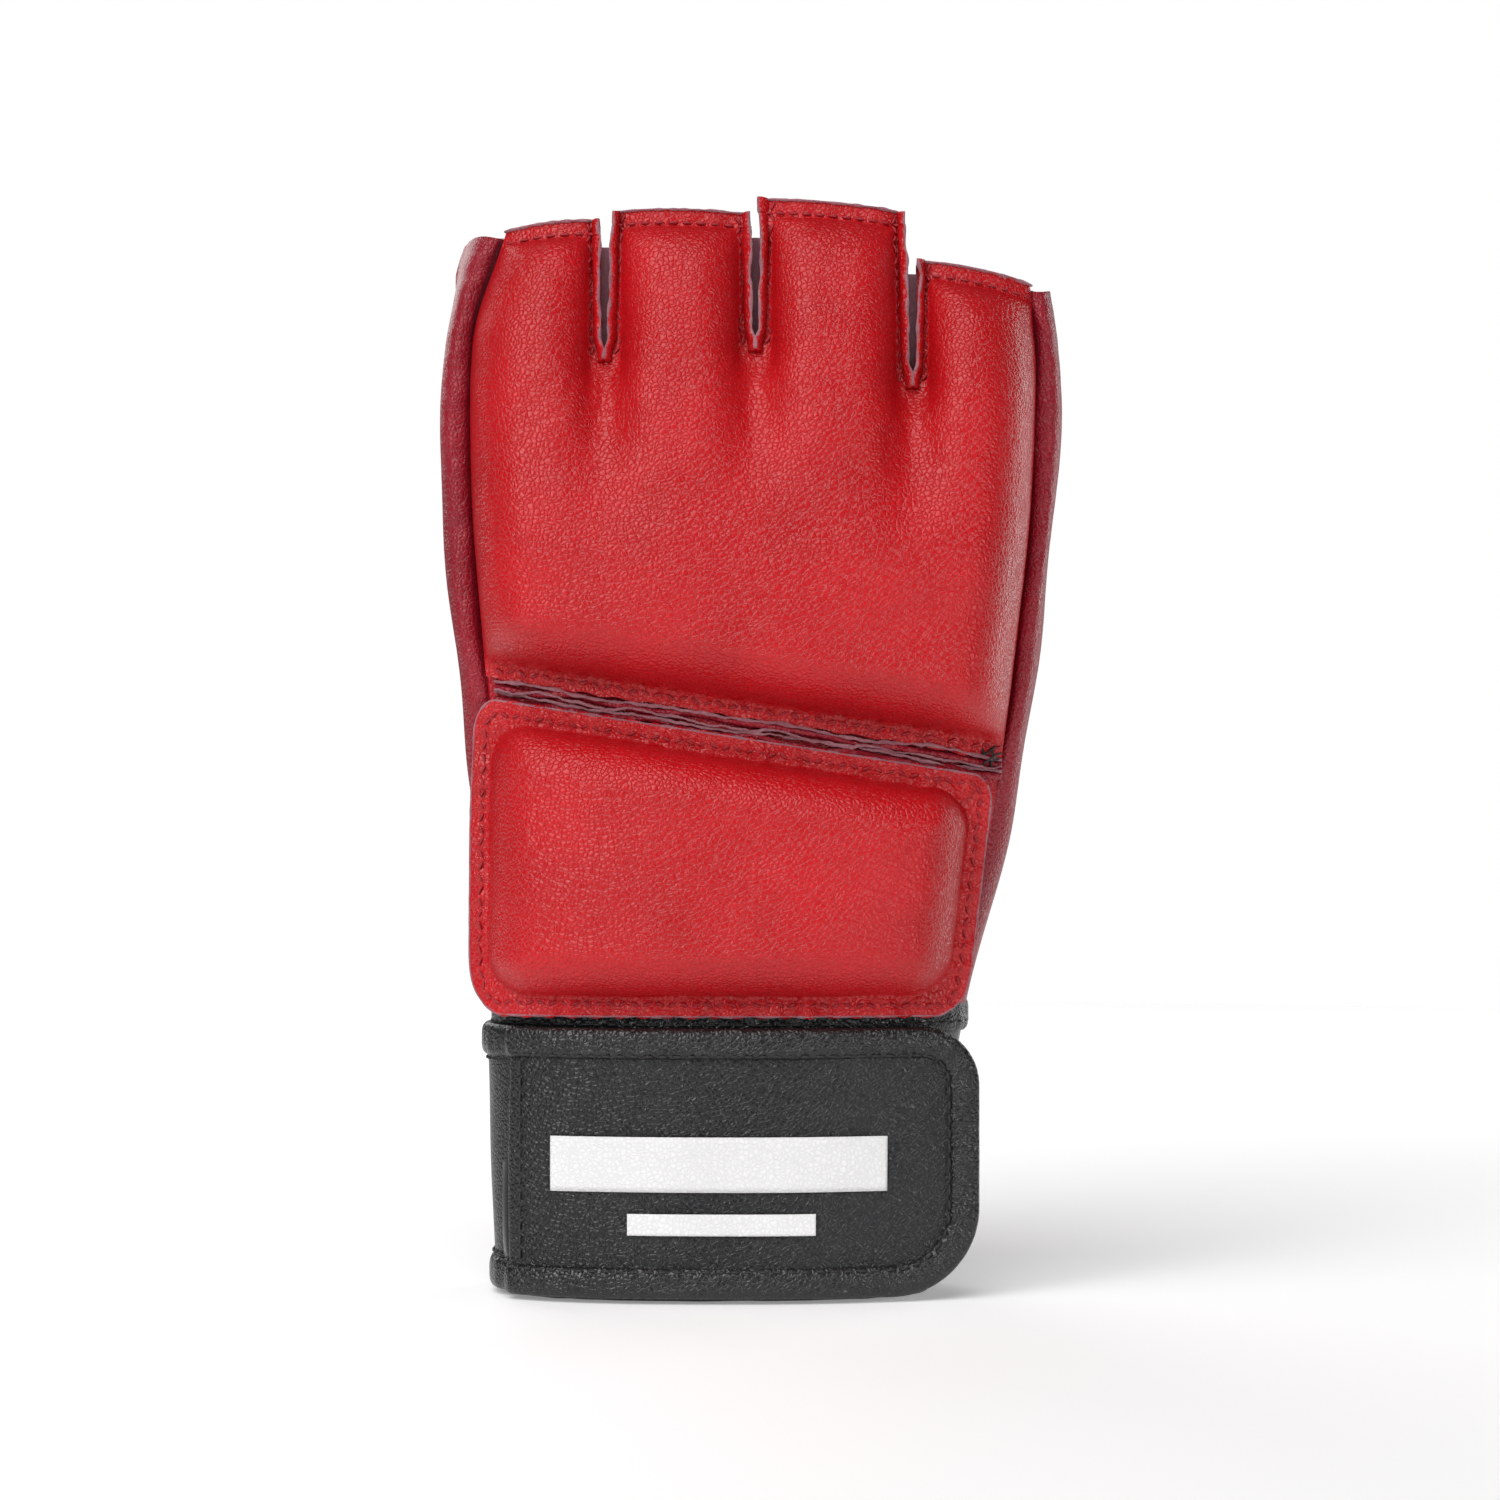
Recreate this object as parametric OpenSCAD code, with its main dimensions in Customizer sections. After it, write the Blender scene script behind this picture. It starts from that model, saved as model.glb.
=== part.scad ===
// Open-finger grappling glove for the right hand, standing on its cuff.
// +Z runs to the finger ends, -Y is the back of the hand, +X is the little finger's side.

/* [Hand] */
// Height from the cuff rim to the longest finger end
glove_h = 226; // [216:1:236]
// Width across the knuckles
knuckle_w = 130; // [122:1:138]
// Depth of the hand part, back leather to palm leather
hand_d = 36; // [34:1:42]
// How square the hand's section is: 2 is an ellipse
squareness = 2.5; // [2.2:0.1:3]

/* [Pads] */
// Thickness of the knuckle pad at its crown
knuckle_pad_t = 17; // [13:1:20]
// Thickness of the wrist pad at its crown
wrist_pad_t = 13; // [10:1:16]
// Radius that rounds the edges of both pads
pad_edge_r = 11; // [8:1:13]
// Height of the seam between the pads at the middle of the hand
pad_seam_z = 118; // [114:1:122]
// Fall of that seam for each millimetre towards the little finger
pad_seam_slope = 0.155; // [0:0.005:0.2]

/* [Leather] */
// Thickness of the outer leather
leather_t = 1.3; // [1:0.1:1.5]
// Thickness of the linings
lining_t = 0.8; // [0.5:0.1:1]
// Clearance between neighbouring layers
gap = 0.3; // [0.2:0.05:0.4]

/* [Cuff and strap] */
// Height of the cuff with both bound edges
cuff_h = 61; // [59:1:64]
// Width of the strap with both bound edges
strap_w = 55; // [50:1:56]
// Width of the folded tape that binds the edges
binding_w = 6.5; // [5:0.5:8]
// Distance of the strap's free end from the middle of the hand
strap_end_x = 48; // [44:1:50]

/* [Palm] */
// Width of the thumb hole
thumb_hole_w = 31; // [28:1:34]
// Height of the thumb hole
thumb_hole_h = 68; // [62:1:72]
// Width of the leather ring that is sewn around the thumb hole
thumb_ring_w = 13; // [10:1:14]
// Width of each pleat vent
pleat_vent_w = 9; // [6:0.5:11]
// Height of each pleat vent
pleat_vent_h = 5; // [3:0.5:6]

/* [Hidden] */

// Heights where the hand part is divided
knuckle_z = 178;
gathers_top_z = 196;
cuff_seam_z = cuff_h + 1;
// Turns around the hand, in degrees from the little finger's side towards the palm
back_seam_little = -27;
back_seam_index = 210;
palm_seam_little = 34;
palm_seam_index = 145;
vent_turn = 32;
vent_half_turn = 17;
vent_round_z = 95;
vent_round_h = 13;
vent_top_z = vent_round_z + vent_round_h;
strap_root_turn = 28;
strap_fold_turn = 214;
// Places of the fingers: slits between the lobes, and the height of each finger's end
slit_x = [-28.5, 2.2, 34.2];
slit_half = 0.7;
slit_bottom_z = 191;
finger_x = [-46, -13.2, 18.2, 48.6];
finger_half_w = [16.4, 14.6, 15, 13.6];
finger_half_d = 15;
// Depth of each loop on its back half, under the pads
finger_back_d = [11.1, 15, 15, 12.1];
finger_top = [220, 224, 225, 211];
thumb_centre = [-25.8, 113];
thumb_tilt = 4;
strap_z = 1;
strap_d = 0.5;
strap_t = 1.8;
flap_d = 4.2;
patch_t = 1.2;
binding_t = 2.6;
// Layers inside the wrist are this deep in all
inner_d = 3;
// Share of a pad's rise that its foam fills
foam_fill = 0.86;
steps = 14;
// Shift that brings the middle of the whole glove's box over the origin
to_origin = [-1.113, 6.419, 0];

// ---- Shape of the hand ----
function half_w(z) = knuckle_w * lookup(z / glove_h,
    [[0, .336], [.265, .374], [.42, .427], [.55, .46], [.71, .492], [.84, .5], [1, .473]]);
function mid_x(z) = knuckle_w * lookup(z / glove_h, [[0, -.046], [.265, -.023], [.42, 0], [1, .012]]);
function half_d(z) = hand_d * lookup(z / glove_h,
    [[0, .6], [.265, .58], [.42, .54], [.71, .5], [.84, .47], [1, .4]]);
function bend(v) = sign(v) * pow(abs(v), 2 / squareness);
// Point at height z and turn t, pushed out from the leather by d
function skin(z, t, d) = [mid_x(z) + (half_w(z) + d) * bend(cos(t)), (half_d(z) + d) * bend(sin(t)), z];
// Depth of the back surface at x and z, pushed out by d
function back_y(x, z, d) = -(half_d(z) + d)
    * pow(max(0, 1 - pow(abs(x - mid_x(z)) / (half_w(z) + d), squareness)), 1 / squareness);
function mix(a, b, s) = a + (b - a) * s;
// Even steps drawn towards both ends
function ease(s) = (1 - cos(180 * s)) / 2;
// Rounded rise of a pad at distance s from its edge
function rise(s) = s >= pad_edge_r ? 1 : sqrt(1 - pow(1 - max(s, 0) / pad_edge_r, 2));
function unit(v) = v / norm(v);
// Height of the seam between the pads
function pad_seam(x) = pad_seam_z - pad_seam_slope * x;

// ---- Builders ----
// Closed solid between two surfaces of u and v; v runs up, u runs round the hand to the left
module slab(inner, outer, nu, nv, ring = false) {
    cols = ring ? nu : nu + 1;
    layer = cols * (nv + 1);
    function id(k, i, j) = k * layer + j * cols + (i % cols);
    points = [for (k = [0, 1]) for (j = [0:nv]) for (i = [0:cols - 1])
        k == 0 ? inner(i / nu, j / nv) : outer(i / nu, j / nv)];
    skins = [for (j = [0:nv - 1]) for (i = [0:nu - 1]) each [
        [id(0, i, j), id(0, i + 1, j), id(0, i + 1, j + 1), id(0, i, j + 1)],
        [id(1, i, j), id(1, i, j + 1), id(1, i + 1, j + 1), id(1, i + 1, j)]]];
    rims = [for (i = [0:nu - 1]) each [
        [id(0, i, 0), id(1, i, 0), id(1, i + 1, 0), id(0, i + 1, 0)],
        [id(0, i, nv), id(0, i + 1, nv), id(1, i + 1, nv), id(1, i, nv)]]];
    ends = ring ? [] : [for (j = [0:nv - 1]) each [
        [id(0, 0, j), id(0, 0, j + 1), id(1, 0, j + 1), id(1, 0, j)],
        [id(0, nu, j), id(1, nu, j), id(1, nu, j + 1), id(0, nu, j + 1)]]];
    translate(to_origin)
        polyhedron(points, concat(skins, rims, ends), convexity = 8);
}
// Piece of the hand's skin between two heights, two turns and two depths
module panel(z, t, d, nu = steps, nv = 6) {
    slab(function(u, v) skin(mix(z[0], z[1], v), mix(t[0], t[1], u), d[0]),
        function(u, v) skin(mix(z[0], z[1], v), mix(t[0], t[1], u), d[1]), nu, nv);
}
// Rolled edge of half width w and half height h along a path of [z, turn, depth]
module welt(path, w, h, n, sides = 8) {
    function at(s) = let (p = path(s)) skin(p[0], p[1], p[2]);
    function out(s) = let (p = path(s)) unit(skin(p[0], p[1], p[2] + 1) - skin(p[0], p[1], p[2]));
    function along(s) = unit(at(min(1, s + .002)) - at(max(0, s - .002)));
    points = [for (i = [0:n]) let (s = i / n, up = out(s), side = unit(cross(along(s), up)))
        for (k = [0:sides - 1]) at(s) + side * w * cos(k * 360 / sides) + up * h * sin(k * 360 / sides)];
    walls = [for (i = [0:n - 1]) for (k = [0:sides - 1]) let (m = (k + 1) % sides)
        [i * sides + k, i * sides + m, (i + 1) * sides + m, (i + 1) * sides + k]];
    caps = [[for (k = [sides - 1:-1:0]) k], [for (k = [0:sides - 1]) n * sides + k]];
    translate(to_origin)
        polyhedron(points, concat(walls, caps), convexity = 8);
}
// Cutter or keeper that runs from the middle of the hand out through the palm
module through_palm() {
    translate(to_origin + [0, 60, 0])
        rotate([90, 0, 0])
            linear_extrude(60)
                children();
}

// ---- Outlines on the palm ----
module oval(grow) {
    translate(thumb_centre)
        rotate(thumb_tilt)
            scale([thumb_hole_w / 2 + grow, thumb_hole_h / 2 + grow])
                circle(1, $fn = 48);
}
module palm_outline(grow) {
    difference() {
        hull() {
            translate([19, 123]) circle(20.5 + grow, $fn = 40);
            translate([21, 149]) circle(20 + grow, $fn = 40);
            translate([-3, 163]) circle(5 + grow, $fn = 40);
        }
        oval(thumb_ring_w + gap);
    }
}
module diamond_vents() {
    w = pleat_vent_w / 2;
    h = pleat_vent_h / 2;
    for (place = [[-45.2, 184], [-15.2, 185.5], [14.2, 187], [44.8, 187]])
        translate(place)
            polygon([[-w, 0], [0, h], [w, 0], [0, -h]]);
}

// ---- Cuff ----
// The cuff opens under the strap, in line with the wrist vent
cuff_turns = [37, 389];
module cuff_arc(z, d, nv = 1) panel(z, cuff_turns, d, 38, nv);
module cuff_band() color("#25262a") cuff_arc([binding_w, cuff_h - binding_w], [-leather_t, 0], 3);
module cuff_lining() color("#1a1a1c")
    cuff_arc([binding_w, cuff_h - binding_w], [-leather_t - gap - lining_t, -leather_t - gap], 3);
module cuff_rim_binding() color("#17181a") cuff_arc([0, binding_w - gap], [-binding_t, 0.2]);
module cuff_top_binding() color("#17181a") cuff_arc([cuff_h - binding_w + gap, cuff_h], [-binding_t, 0.4]);
module loop_patch() color("#101010") panel([12, 44], [246, 318], [gap, gap + patch_t], 18, 1);
module strap_base() color("#232427")
    panel([strap_z + binding_w, strap_z + strap_w - binding_w], [strap_root_turn, strap_fold_turn],
        [strap_d, strap_d + strap_t], 30, 2);
module strap_base_bindings() color("#17181a")
    for (z = [strap_z, strap_z + strap_w - binding_w + gap])
        panel([z, z + binding_w - gap], [strap_root_turn, strap_fold_turn],
            [strap_d, strap_d + binding_t], 30, 1);
// The wrist vent's edge: up one side to vent_bend of the way, over the round top, and down the other side
vent_bend = .35;
vent_low_z = cuff_seam_z + 1.5;
vent_low_half_turn = 9;
function vent_side(r) = [mix(vent_low_z, vent_round_z, r), mix(vent_low_half_turn, vent_half_turn, r)];
function vent_path(s) =
    s < vent_bend ? let (p = vent_side(s / vent_bend)) [p[0], vent_turn - p[1], 0]
    : s > 1 - vent_bend ? let (p = vent_side((1 - s) / vent_bend)) [p[0], vent_turn + p[1], 0]
    : let (a = 180 * (s - vent_bend) / (1 - 2 * vent_bend))
        [vent_round_z + vent_round_h * sin(a), vent_turn - vent_half_turn * cos(a), 0];
module vent_binding() color("#17181a") welt(function(s) vent_path(s), 2.1, 1.7, 40);

// ---- Linings ----
back_turns = [back_seam_index + 3, 360 + back_seam_little - 3];
elastic_top_z = 103;
gathered_top_z = 125;
module wrist_elastic() color("#2d2d2f")
    panel([cuff_seam_z + 1, elastic_top_z], back_turns, [-inner_d, -leather_t - gap], 14, 4);
module gathered_fabric() color("#be0023")
    panel([elastic_top_z + gap, gathered_top_z], back_turns, [-inner_d, -leather_t - gap], 14, 3);
module back_lining() color("#a5788c")
    panel([gathered_top_z + gap, knuckle_z - .5], back_turns,
        [-leather_t - gap - lining_t, -leather_t - gap], 14, 5);

// ---- Outer leather ----
function seam_turn(z) = lookup(z, [[vent_top_z, vent_turn], [vent_top_z + 26, palm_seam_little]]);
// Half width of the wrist vent, in degrees, with this much room for its bound edge
function vent_half(z, room) = z >= vent_top_z + 3 ? 0
    : z > vent_round_z ? (vent_half_turn + room) * sqrt(1 - pow((z - vent_round_z) / (vent_round_h + 3), 2))
    : room + mix(vent_low_half_turn, vent_half_turn, (z - cuff_seam_z) / (vent_round_z - cuff_seam_z));
module back_panel() color("#b01a28")
    panel([cuff_seam_z, knuckle_z - .5], back_turns, [-leather_t, 0], 18, 10);
module side_panel(t_lo, t_hi) {
    function at(u, v, d) = let (z = mix(cuff_seam_z, knuckle_z - .5, v)) skin(z, mix(t_lo(z), t_hi(z), u), d);
    slab(function(u, v) at(u, v, -leather_t), function(u, v) at(u, v, 0), steps, 24);
}
module little_gusset() color("#a5192d")
    side_panel(function(z) back_seam_little - 2, function(z) seam_turn(z) - vent_half(z, 6.5) - gap);
module index_gusset() color("#a5192d")
    side_panel(function(z) palm_seam_index + gap, function(z) back_seam_index + 2);
module palm_shell() color("#c32332") difference() {
    side_panel(function(z) seam_turn(z) + vent_half(z, 6) + gap, function(z) palm_seam_index - gap);
    through_palm() oval(0);
    through_palm() palm_outline(0);
}
module palm_gathers() color("#c32332") difference() {
    panel([knuckle_z, gathers_top_z - gap], [back_seam_little - 2, back_seam_index + 2],
        [-leather_t, 0], 40, 4);
    through_palm() diamond_vents();
}
module thumb_ring() color("#cf3a48") intersection() {
    panel([62, 166], [52, 172], [gap, gap + 1.5], 24, 16);
    through_palm() difference() {
        oval(thumb_ring_w);
        oval(0);
    }
}
module palm_opening_facing() color("#b5222f") intersection() {
    panel([90, 177], [40, 140], [-leather_t - gap - lining_t, -leather_t - gap], 24, 14);
    through_palm() difference() {
        palm_outline(6);
        palm_outline(0);
    }
}

// ---- Pads ----
function back_edge(z, side) = skin(z, side < 0 ? back_seam_index : back_seam_little, 0)[0];
// Height of the finger pads' foam at z, before the edges are rounded
function pad_crown(z) = knuckle_pad_t * lookup(z, [[150, 1], [knuckle_z, .86], [205, .62], [glove_h, .42]]);
// Valleys between the fingers, deepest from the slit bottoms up
function valley(x, z) = let (depth = lookup(z, [[148, 0], [slit_bottom_z, .55]]))
    1 - depth * max([for (s = slit_x) exp(-pow((x - s) / 5, 2))]);
function knuckle_rise(x, z) = pad_crown(z) * valley(x, z)
    * rise(min(x - back_edge(z, -1), back_edge(z, 1) - x) - .2) * rise(z - pad_seam(x) - 3);
pad_low_x = [back_edge(pad_seam_z, -1), back_edge(pad_seam_z, 1)];
// Part of the knuckle pad between two x places and two heights; low and high are depths over the back
module pad(x_lo, x_hi, z_lo, z_hi, low, high, nu, nv) {
    function x_at(u, z) = mix(x_lo(z), x_hi(z), ease(u));
    function z_at(u, v) = mix(z_lo(mix(pad_low_x[0], pad_low_x[1], ease(u))), z_hi, v);
    slab(function(u, v) let (z = z_at(u, v), x = x_at(u, z)) [x, back_y(x, z, gap + low(x, z)), z],
        function(u, v) let (z = z_at(u, v), x = x_at(u, z)) [x, back_y(x, z, gap + high(x, z)), z], nu, nv);
}
module knuckle_pad_cover() color("#d42028")
    pad(function(z) back_edge(z, -1), function(z) back_edge(z, 1), function(x) pad_seam(x) + 1, knuckle_z - .5,
        function(x, z) knuckle_rise(x, z) + gap, function(x, z) knuckle_rise(x, z) + gap + leather_t, 34, 18);
foam_inset = 6;
module knuckle_pad_foam() color("#e8dcae")
    pad(function(z) back_edge(z, -1) + foam_inset, function(z) back_edge(z, 1) - foam_inset,
        function(x) pad_seam(x) + foam_inset + 3, knuckle_z - 1,
        function(x, z) 0, function(x, z) foam_fill * knuckle_rise(x, z), 24, 8);
// Edges of finger n's lobe
function lobe_lo(n, z) = n == 0 ? back_edge(z, -1) : slit_x[n - 1] + slit_half;
function lobe_hi(n, z) = n == 3 ? back_edge(z, 1) : slit_x[n] - slit_half;
module finger_cover(n) color("#d42028")
    pad(function(z) lobe_lo(n, z), function(z) lobe_hi(n, z), function(x) knuckle_z, finger_top[n],
        function(x, z) knuckle_rise(x, z) + gap, function(x, z) knuckle_rise(x, z) + gap + leather_t, 12, 6);
module finger_foam(n) color("#e8dcae")
    pad(function(z) lobe_lo(n, z) + (n == 0 ? foam_inset : 1.5),
        function(z) lobe_hi(n, z) - (n == 3 ? foam_inset : 1.5),
        function(x) knuckle_z + .5, finger_top[n] - 2,
        function(x, z) 0, function(x, z) foam_fill * knuckle_rise(x, z), 10, 4);

// Wrist pad, a pillow on a flat sewn flange
wrist_pad_z = cuff_seam_z - 4;
flange_w = 4.5;
// The pad is wider than the wrist, so that its flange stands past both sides
wrist_pad_over = 9;
function wrist_lo(z) = knuckle_w * lookup(z, [[wrist_pad_z, -.415], [66, -.438], [126, -.428]]);
function wrist_hi(z) = knuckle_w * lookup(z, [[wrist_pad_z, .33], [66, .358], [90, .38], [112, .4]]);
function wrist_y(x, z, d) = -(half_d(z) + d)
    * pow(max(0, 1 - pow(abs(x - mid_x(z)) / (half_w(z) + wrist_pad_over), squareness)), 1 / squareness);
function wrist_rise(x, z) = wrist_pad_t
    * rise(min(x - wrist_lo(z), wrist_hi(z) - x) - flange_w)
    * rise(min(z - wrist_pad_z, pad_seam(x) - 3 - z) - flange_w);
module wrist_pad(inset, low, high, nu, nv) {
    function z_at(u, v) = mix(wrist_pad_z + inset, pad_seam(mix(-56, 54, ease(u))) - 3 - inset, ease(v));
    function x_at(u, z) = mix(wrist_lo(z) + inset, wrist_hi(z) - inset, ease(u));
    slab(function(u, v) let (z = z_at(u, v), x = x_at(u, z)) [x, wrist_y(x, z, .8 + low(x, z)), z],
        function(u, v) let (z = z_at(u, v), x = x_at(u, z)) [x, wrist_y(x, z, .8 + high(x, z)), z], nu, nv);
}
module wrist_pad_cover() color("#dc2a30")
    wrist_pad(0, function(x, z) wrist_rise(x, z) + gap, function(x, z) wrist_rise(x, z) + gap + leather_t, 24, 18);
module wrist_pad_foam() color("#e8dcae")
    wrist_pad(flange_w + 4, function(x, z) 0, function(x, z) foam_fill * wrist_rise(x, z), 16, 10);
// Raw edges of the layers stacked in the seam between the pads
function welt_at(u, v, d) = let (x = mix(-50, 50, u), z = pad_seam(x) + mix(-2.4, .6, v))
    [x, back_y(x, z, d), z];
module seam_welt() color("#b98a92")
    slab(function(u, v) welt_at(u, v, gap), function(u, v) welt_at(u, v, binding_t), 20, 1);
// Rolled seams between the knuckle pad and the sides
module index_piping() color("#8c1426")
    welt(function(s) [mix(knuckle_z - 1, 126, s), back_seam_index - 4, 1.5], 1.2, 1.2, 12);
module little_piping() color("#8c1426")
    welt(function(s) [mix(knuckle_z - 1, 112, s), back_seam_little + 5, 1.5], 1.2, 1.2, 12);

// ---- Finger loops ----
// Point on finger n's loop at height z and turn t, pushed out by d
function loop_skin(n, z, t, d) = [finger_x[n] + (finger_half_w[n] + d) * bend(cos(t)),
    ((sin(t) < 0 ? finger_back_d[n] : finger_half_d) + d) * bend(sin(t)), z];
module finger_loop(n, z, t, d, ring) {
    slab(function(u, v) loop_skin(n, mix(z[0], z[1], v), mix(t[0], t[1], u), d[0]),
        function(u, v) loop_skin(n, mix(z[0], z[1], v), mix(t[0], t[1], u), d[1]), 28, 1, ring);
}
module finger_sleeve(n) color("#c32332")
    finger_loop(n, [gathers_top_z, finger_top[n] - 1], [-24, 204], [-leather_t, 0], false);
module finger_lining(n) color("#a5788c")
    finger_loop(n, [gathers_top_z, finger_top[n] - 2], [0, 360],
        [-leather_t - gap - lining_t, -leather_t - gap], true);
module index_foam() finger_foam(0);
module middle_foam() finger_foam(1);
module ring_foam() finger_foam(2);
module little_foam() finger_foam(3);
module index_cover() finger_cover(0);
module middle_cover() finger_cover(1);
module ring_cover() finger_cover(2);
module little_cover() finger_cover(3);
module index_sleeve() finger_sleeve(0);
module middle_sleeve() finger_sleeve(1);
module ring_sleeve() finger_sleeve(2);
module little_sleeve() finger_sleeve(3);
module index_lining() finger_lining(0);
module middle_lining() finger_lining(1);
module ring_lining() finger_lining(2);
module little_lining() finger_lining(3);

// ---- Strap flap ----
// The flap follows the cuff over the back of the wrist and then runs straight to its free end
flap_bend_turn = 298;
flap_bend_s = .74;
corner_r = [18, 12];
function flap_base(s) = skin(30, mix(strap_fold_turn + 2, flap_bend_turn, min(1, s / flap_bend_s)), flap_d);
flap_line = unit(flap_base(flap_bend_s) - flap_base(flap_bend_s - .02));
flap_bend_x = flap_base(1)[0];
function flap_run(s) = max(0, s - flap_bend_s) / (1 - flap_bend_s) * (strap_end_x - flap_bend_x) / flap_line[0];
function flap_mid(s) = flap_base(s) + flap_line * flap_run(s);
function flap_side(s) = let (t = unit(flap_mid(min(1, s + .01)) - flap_mid(max(0, s - .01)))) [t[1], -t[0], 0];
// Corner cut at the free end, at x, for corner k
function corner(x, k) = let (e = x - (strap_end_x - corner_r[k])) e <= 0 ? 0
    : corner_r[k] - sqrt(max(0, pow(corner_r[k], 2) - pow(min(e, corner_r[k]), 2)));
function flap_at(s, v, d, inset) = let (p = flap_mid(s) + flap_side(s) * d,
    lo = strap_z + inset + corner(p[0] + inset, 0), hi = strap_z + strap_w - inset - corner(p[0] + inset, 1))
    [p[0], p[1], mix(lo, hi, v)];
module flap_layer(s0, s1, d0, d1, inset, nu, nv) {
    slab(function(u, v) flap_at(mix(s0, s1, u), v, d0, inset),
        function(u, v) flap_at(mix(s0, s1, u), v, d1, inset), nu, nv);
}
flap_inset = 5.5;
flap_end = .94;
flap_nu = 30;
module strap_flap() color("#232427") flap_layer(0, flap_end, -.2, 1, flap_inset, flap_nu, 2);
module strap_flap_lining() color("#161617") flap_layer(0, flap_end, -.9, -.5, flap_inset, flap_nu, 2);
// Two plain printed bars, a wide one over a short one: ends along the flap, then across it
bars = [[.14, .79, .38, .62], [.33, .63, .17, .27]];
function bar_at(b, u, v, d) = flap_at(mix(b[0], b[1], u), mix(b[2], b[3], v), d, flap_inset);
module strap_emblem() color("#f2f2f2")
    for (b = bars)
        slab(function(u, v) bar_at(b, u, v, 1.2), function(u, v) bar_at(b, u, v, 1.45), 20, 1);
module hook_patch() color("#0c0c0d") flap_layer(.42, .9, -2.3, -1.1, 9, 24, 1);
// Blank label on the inside of the flap, near its free end
function label_at(u, v, d) = let (s = mix(.87, .93, u), p = flap_mid(s) + flap_side(s) * d)
    [p[0], p[1], mix(22, 34, v)];
module size_label() color("#d7d9e6")
    slab(function(u, v) label_at(u, v, -3.1), function(u, v) label_at(u, v, -2.6), 3, 1);
// Bound edge: along the top, round the free end and back along the bottom
module strap_flap_binding() {
    edge_v = (flap_inset - gap) / strap_w;
    for (edge = [[0, edge_v], [1 - edge_v, 1]])
        color("#17181a")
            slab(function(u, v) flap_at(mix(0, .945, u), mix(edge[0], edge[1], v), -1.2, 0),
                function(u, v) flap_at(mix(0, .945, u), mix(edge[0], edge[1], v), 1.5, 0), flap_nu, 1);
    color("#17181a")
        slab(function(u, v) flap_at(mix(.9452, 1, u), v, -1.2, 0),
            function(u, v) flap_at(mix(.9452, 1, u), v, 1.5, 0), 4, 8);
}

cuff_band();
cuff_lining();
cuff_rim_binding();
cuff_top_binding();
loop_patch();
size_label();
strap_base();
strap_base_bindings();
vent_binding();
wrist_elastic();
gathered_fabric();
back_lining();
back_panel();
wrist_pad_foam();
wrist_pad_cover();
seam_welt();
knuckle_pad_foam();
knuckle_pad_cover();
index_gusset();
little_gusset();
index_piping();
little_piping();
palm_shell();
palm_gathers();
thumb_ring();
palm_opening_facing();
index_foam();
middle_foam();
ring_foam();
little_foam();
index_cover();
middle_cover();
ring_cover();
little_cover();
index_sleeve();
middle_sleeve();
ring_sleeve();
little_sleeve();
index_lining();
middle_lining();
ring_lining();
little_lining();
strap_flap();
strap_flap_lining();
strap_flap_binding();
strap_emblem();
hook_patch();
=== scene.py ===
from math import cos, pi, radians, sin, sqrt

import bpy
import numpy as np
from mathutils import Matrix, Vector


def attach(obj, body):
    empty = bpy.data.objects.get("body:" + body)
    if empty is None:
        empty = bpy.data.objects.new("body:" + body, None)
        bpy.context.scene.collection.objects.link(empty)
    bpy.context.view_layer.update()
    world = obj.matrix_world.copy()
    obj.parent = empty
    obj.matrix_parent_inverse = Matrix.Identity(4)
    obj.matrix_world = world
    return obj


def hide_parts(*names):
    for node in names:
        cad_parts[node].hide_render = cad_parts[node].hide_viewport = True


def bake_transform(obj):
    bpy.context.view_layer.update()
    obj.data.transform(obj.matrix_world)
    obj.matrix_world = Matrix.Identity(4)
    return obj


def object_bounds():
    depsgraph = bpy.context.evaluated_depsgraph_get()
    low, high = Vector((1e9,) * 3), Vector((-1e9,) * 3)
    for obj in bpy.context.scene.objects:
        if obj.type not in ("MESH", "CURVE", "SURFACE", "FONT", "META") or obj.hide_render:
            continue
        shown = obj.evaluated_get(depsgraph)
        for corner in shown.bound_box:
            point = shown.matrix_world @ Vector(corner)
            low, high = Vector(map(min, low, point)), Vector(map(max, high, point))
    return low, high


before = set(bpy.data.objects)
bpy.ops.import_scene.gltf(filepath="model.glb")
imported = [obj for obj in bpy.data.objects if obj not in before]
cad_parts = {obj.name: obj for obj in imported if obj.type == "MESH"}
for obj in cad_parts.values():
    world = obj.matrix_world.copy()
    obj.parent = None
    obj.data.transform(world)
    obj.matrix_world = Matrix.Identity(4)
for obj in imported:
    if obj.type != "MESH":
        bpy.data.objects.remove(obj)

cad_low, cad_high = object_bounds()

# ---- Driving sizes, in millimetres as in the CAD ----
MM = 0.001
GLOVE_H = 226.0
KNUCKLE_W = 130.0
HAND_D = 36.0
SQUARENESS = 2.5
KNUCKLE_PAD_T = 17.0
WRIST_PAD_T = 13.0
PAD_EDGE_R = 11.0
PAD_SEAM_Z = 118.0
PAD_SEAM_SLOPE = 0.155
CUFF_H = 61.0
CUFF_SEAM_Z = CUFF_H + 1
CUFF_TURNS = (37.0, 389.0)
STRAP_Z = 1.0
STRAP_W = 55.0
STRAP_END_X = 48.0
BINDING_W = 6.5
THUMB_HOLE = (15.5, 34.0)
THUMB_CENTRE = (-25.8, 113.0)
THUMB_TILT = radians(4)
THUMB_RING_W = 13.0
BACK_SEAM_LITTLE = -27.0
BACK_SEAM_INDEX = 210.0
PALM_SEAM_LITTLE = 34.0
PALM_SEAM_INDEX = 145.0
SLIT_X = (-28.5, 2.2, 34.2)
SLIT_BOTTOM_Z = (193.0, 195.0, 187.5)
FINGER_X = (-46.0, -13.2, 18.2, 48.6)
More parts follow.
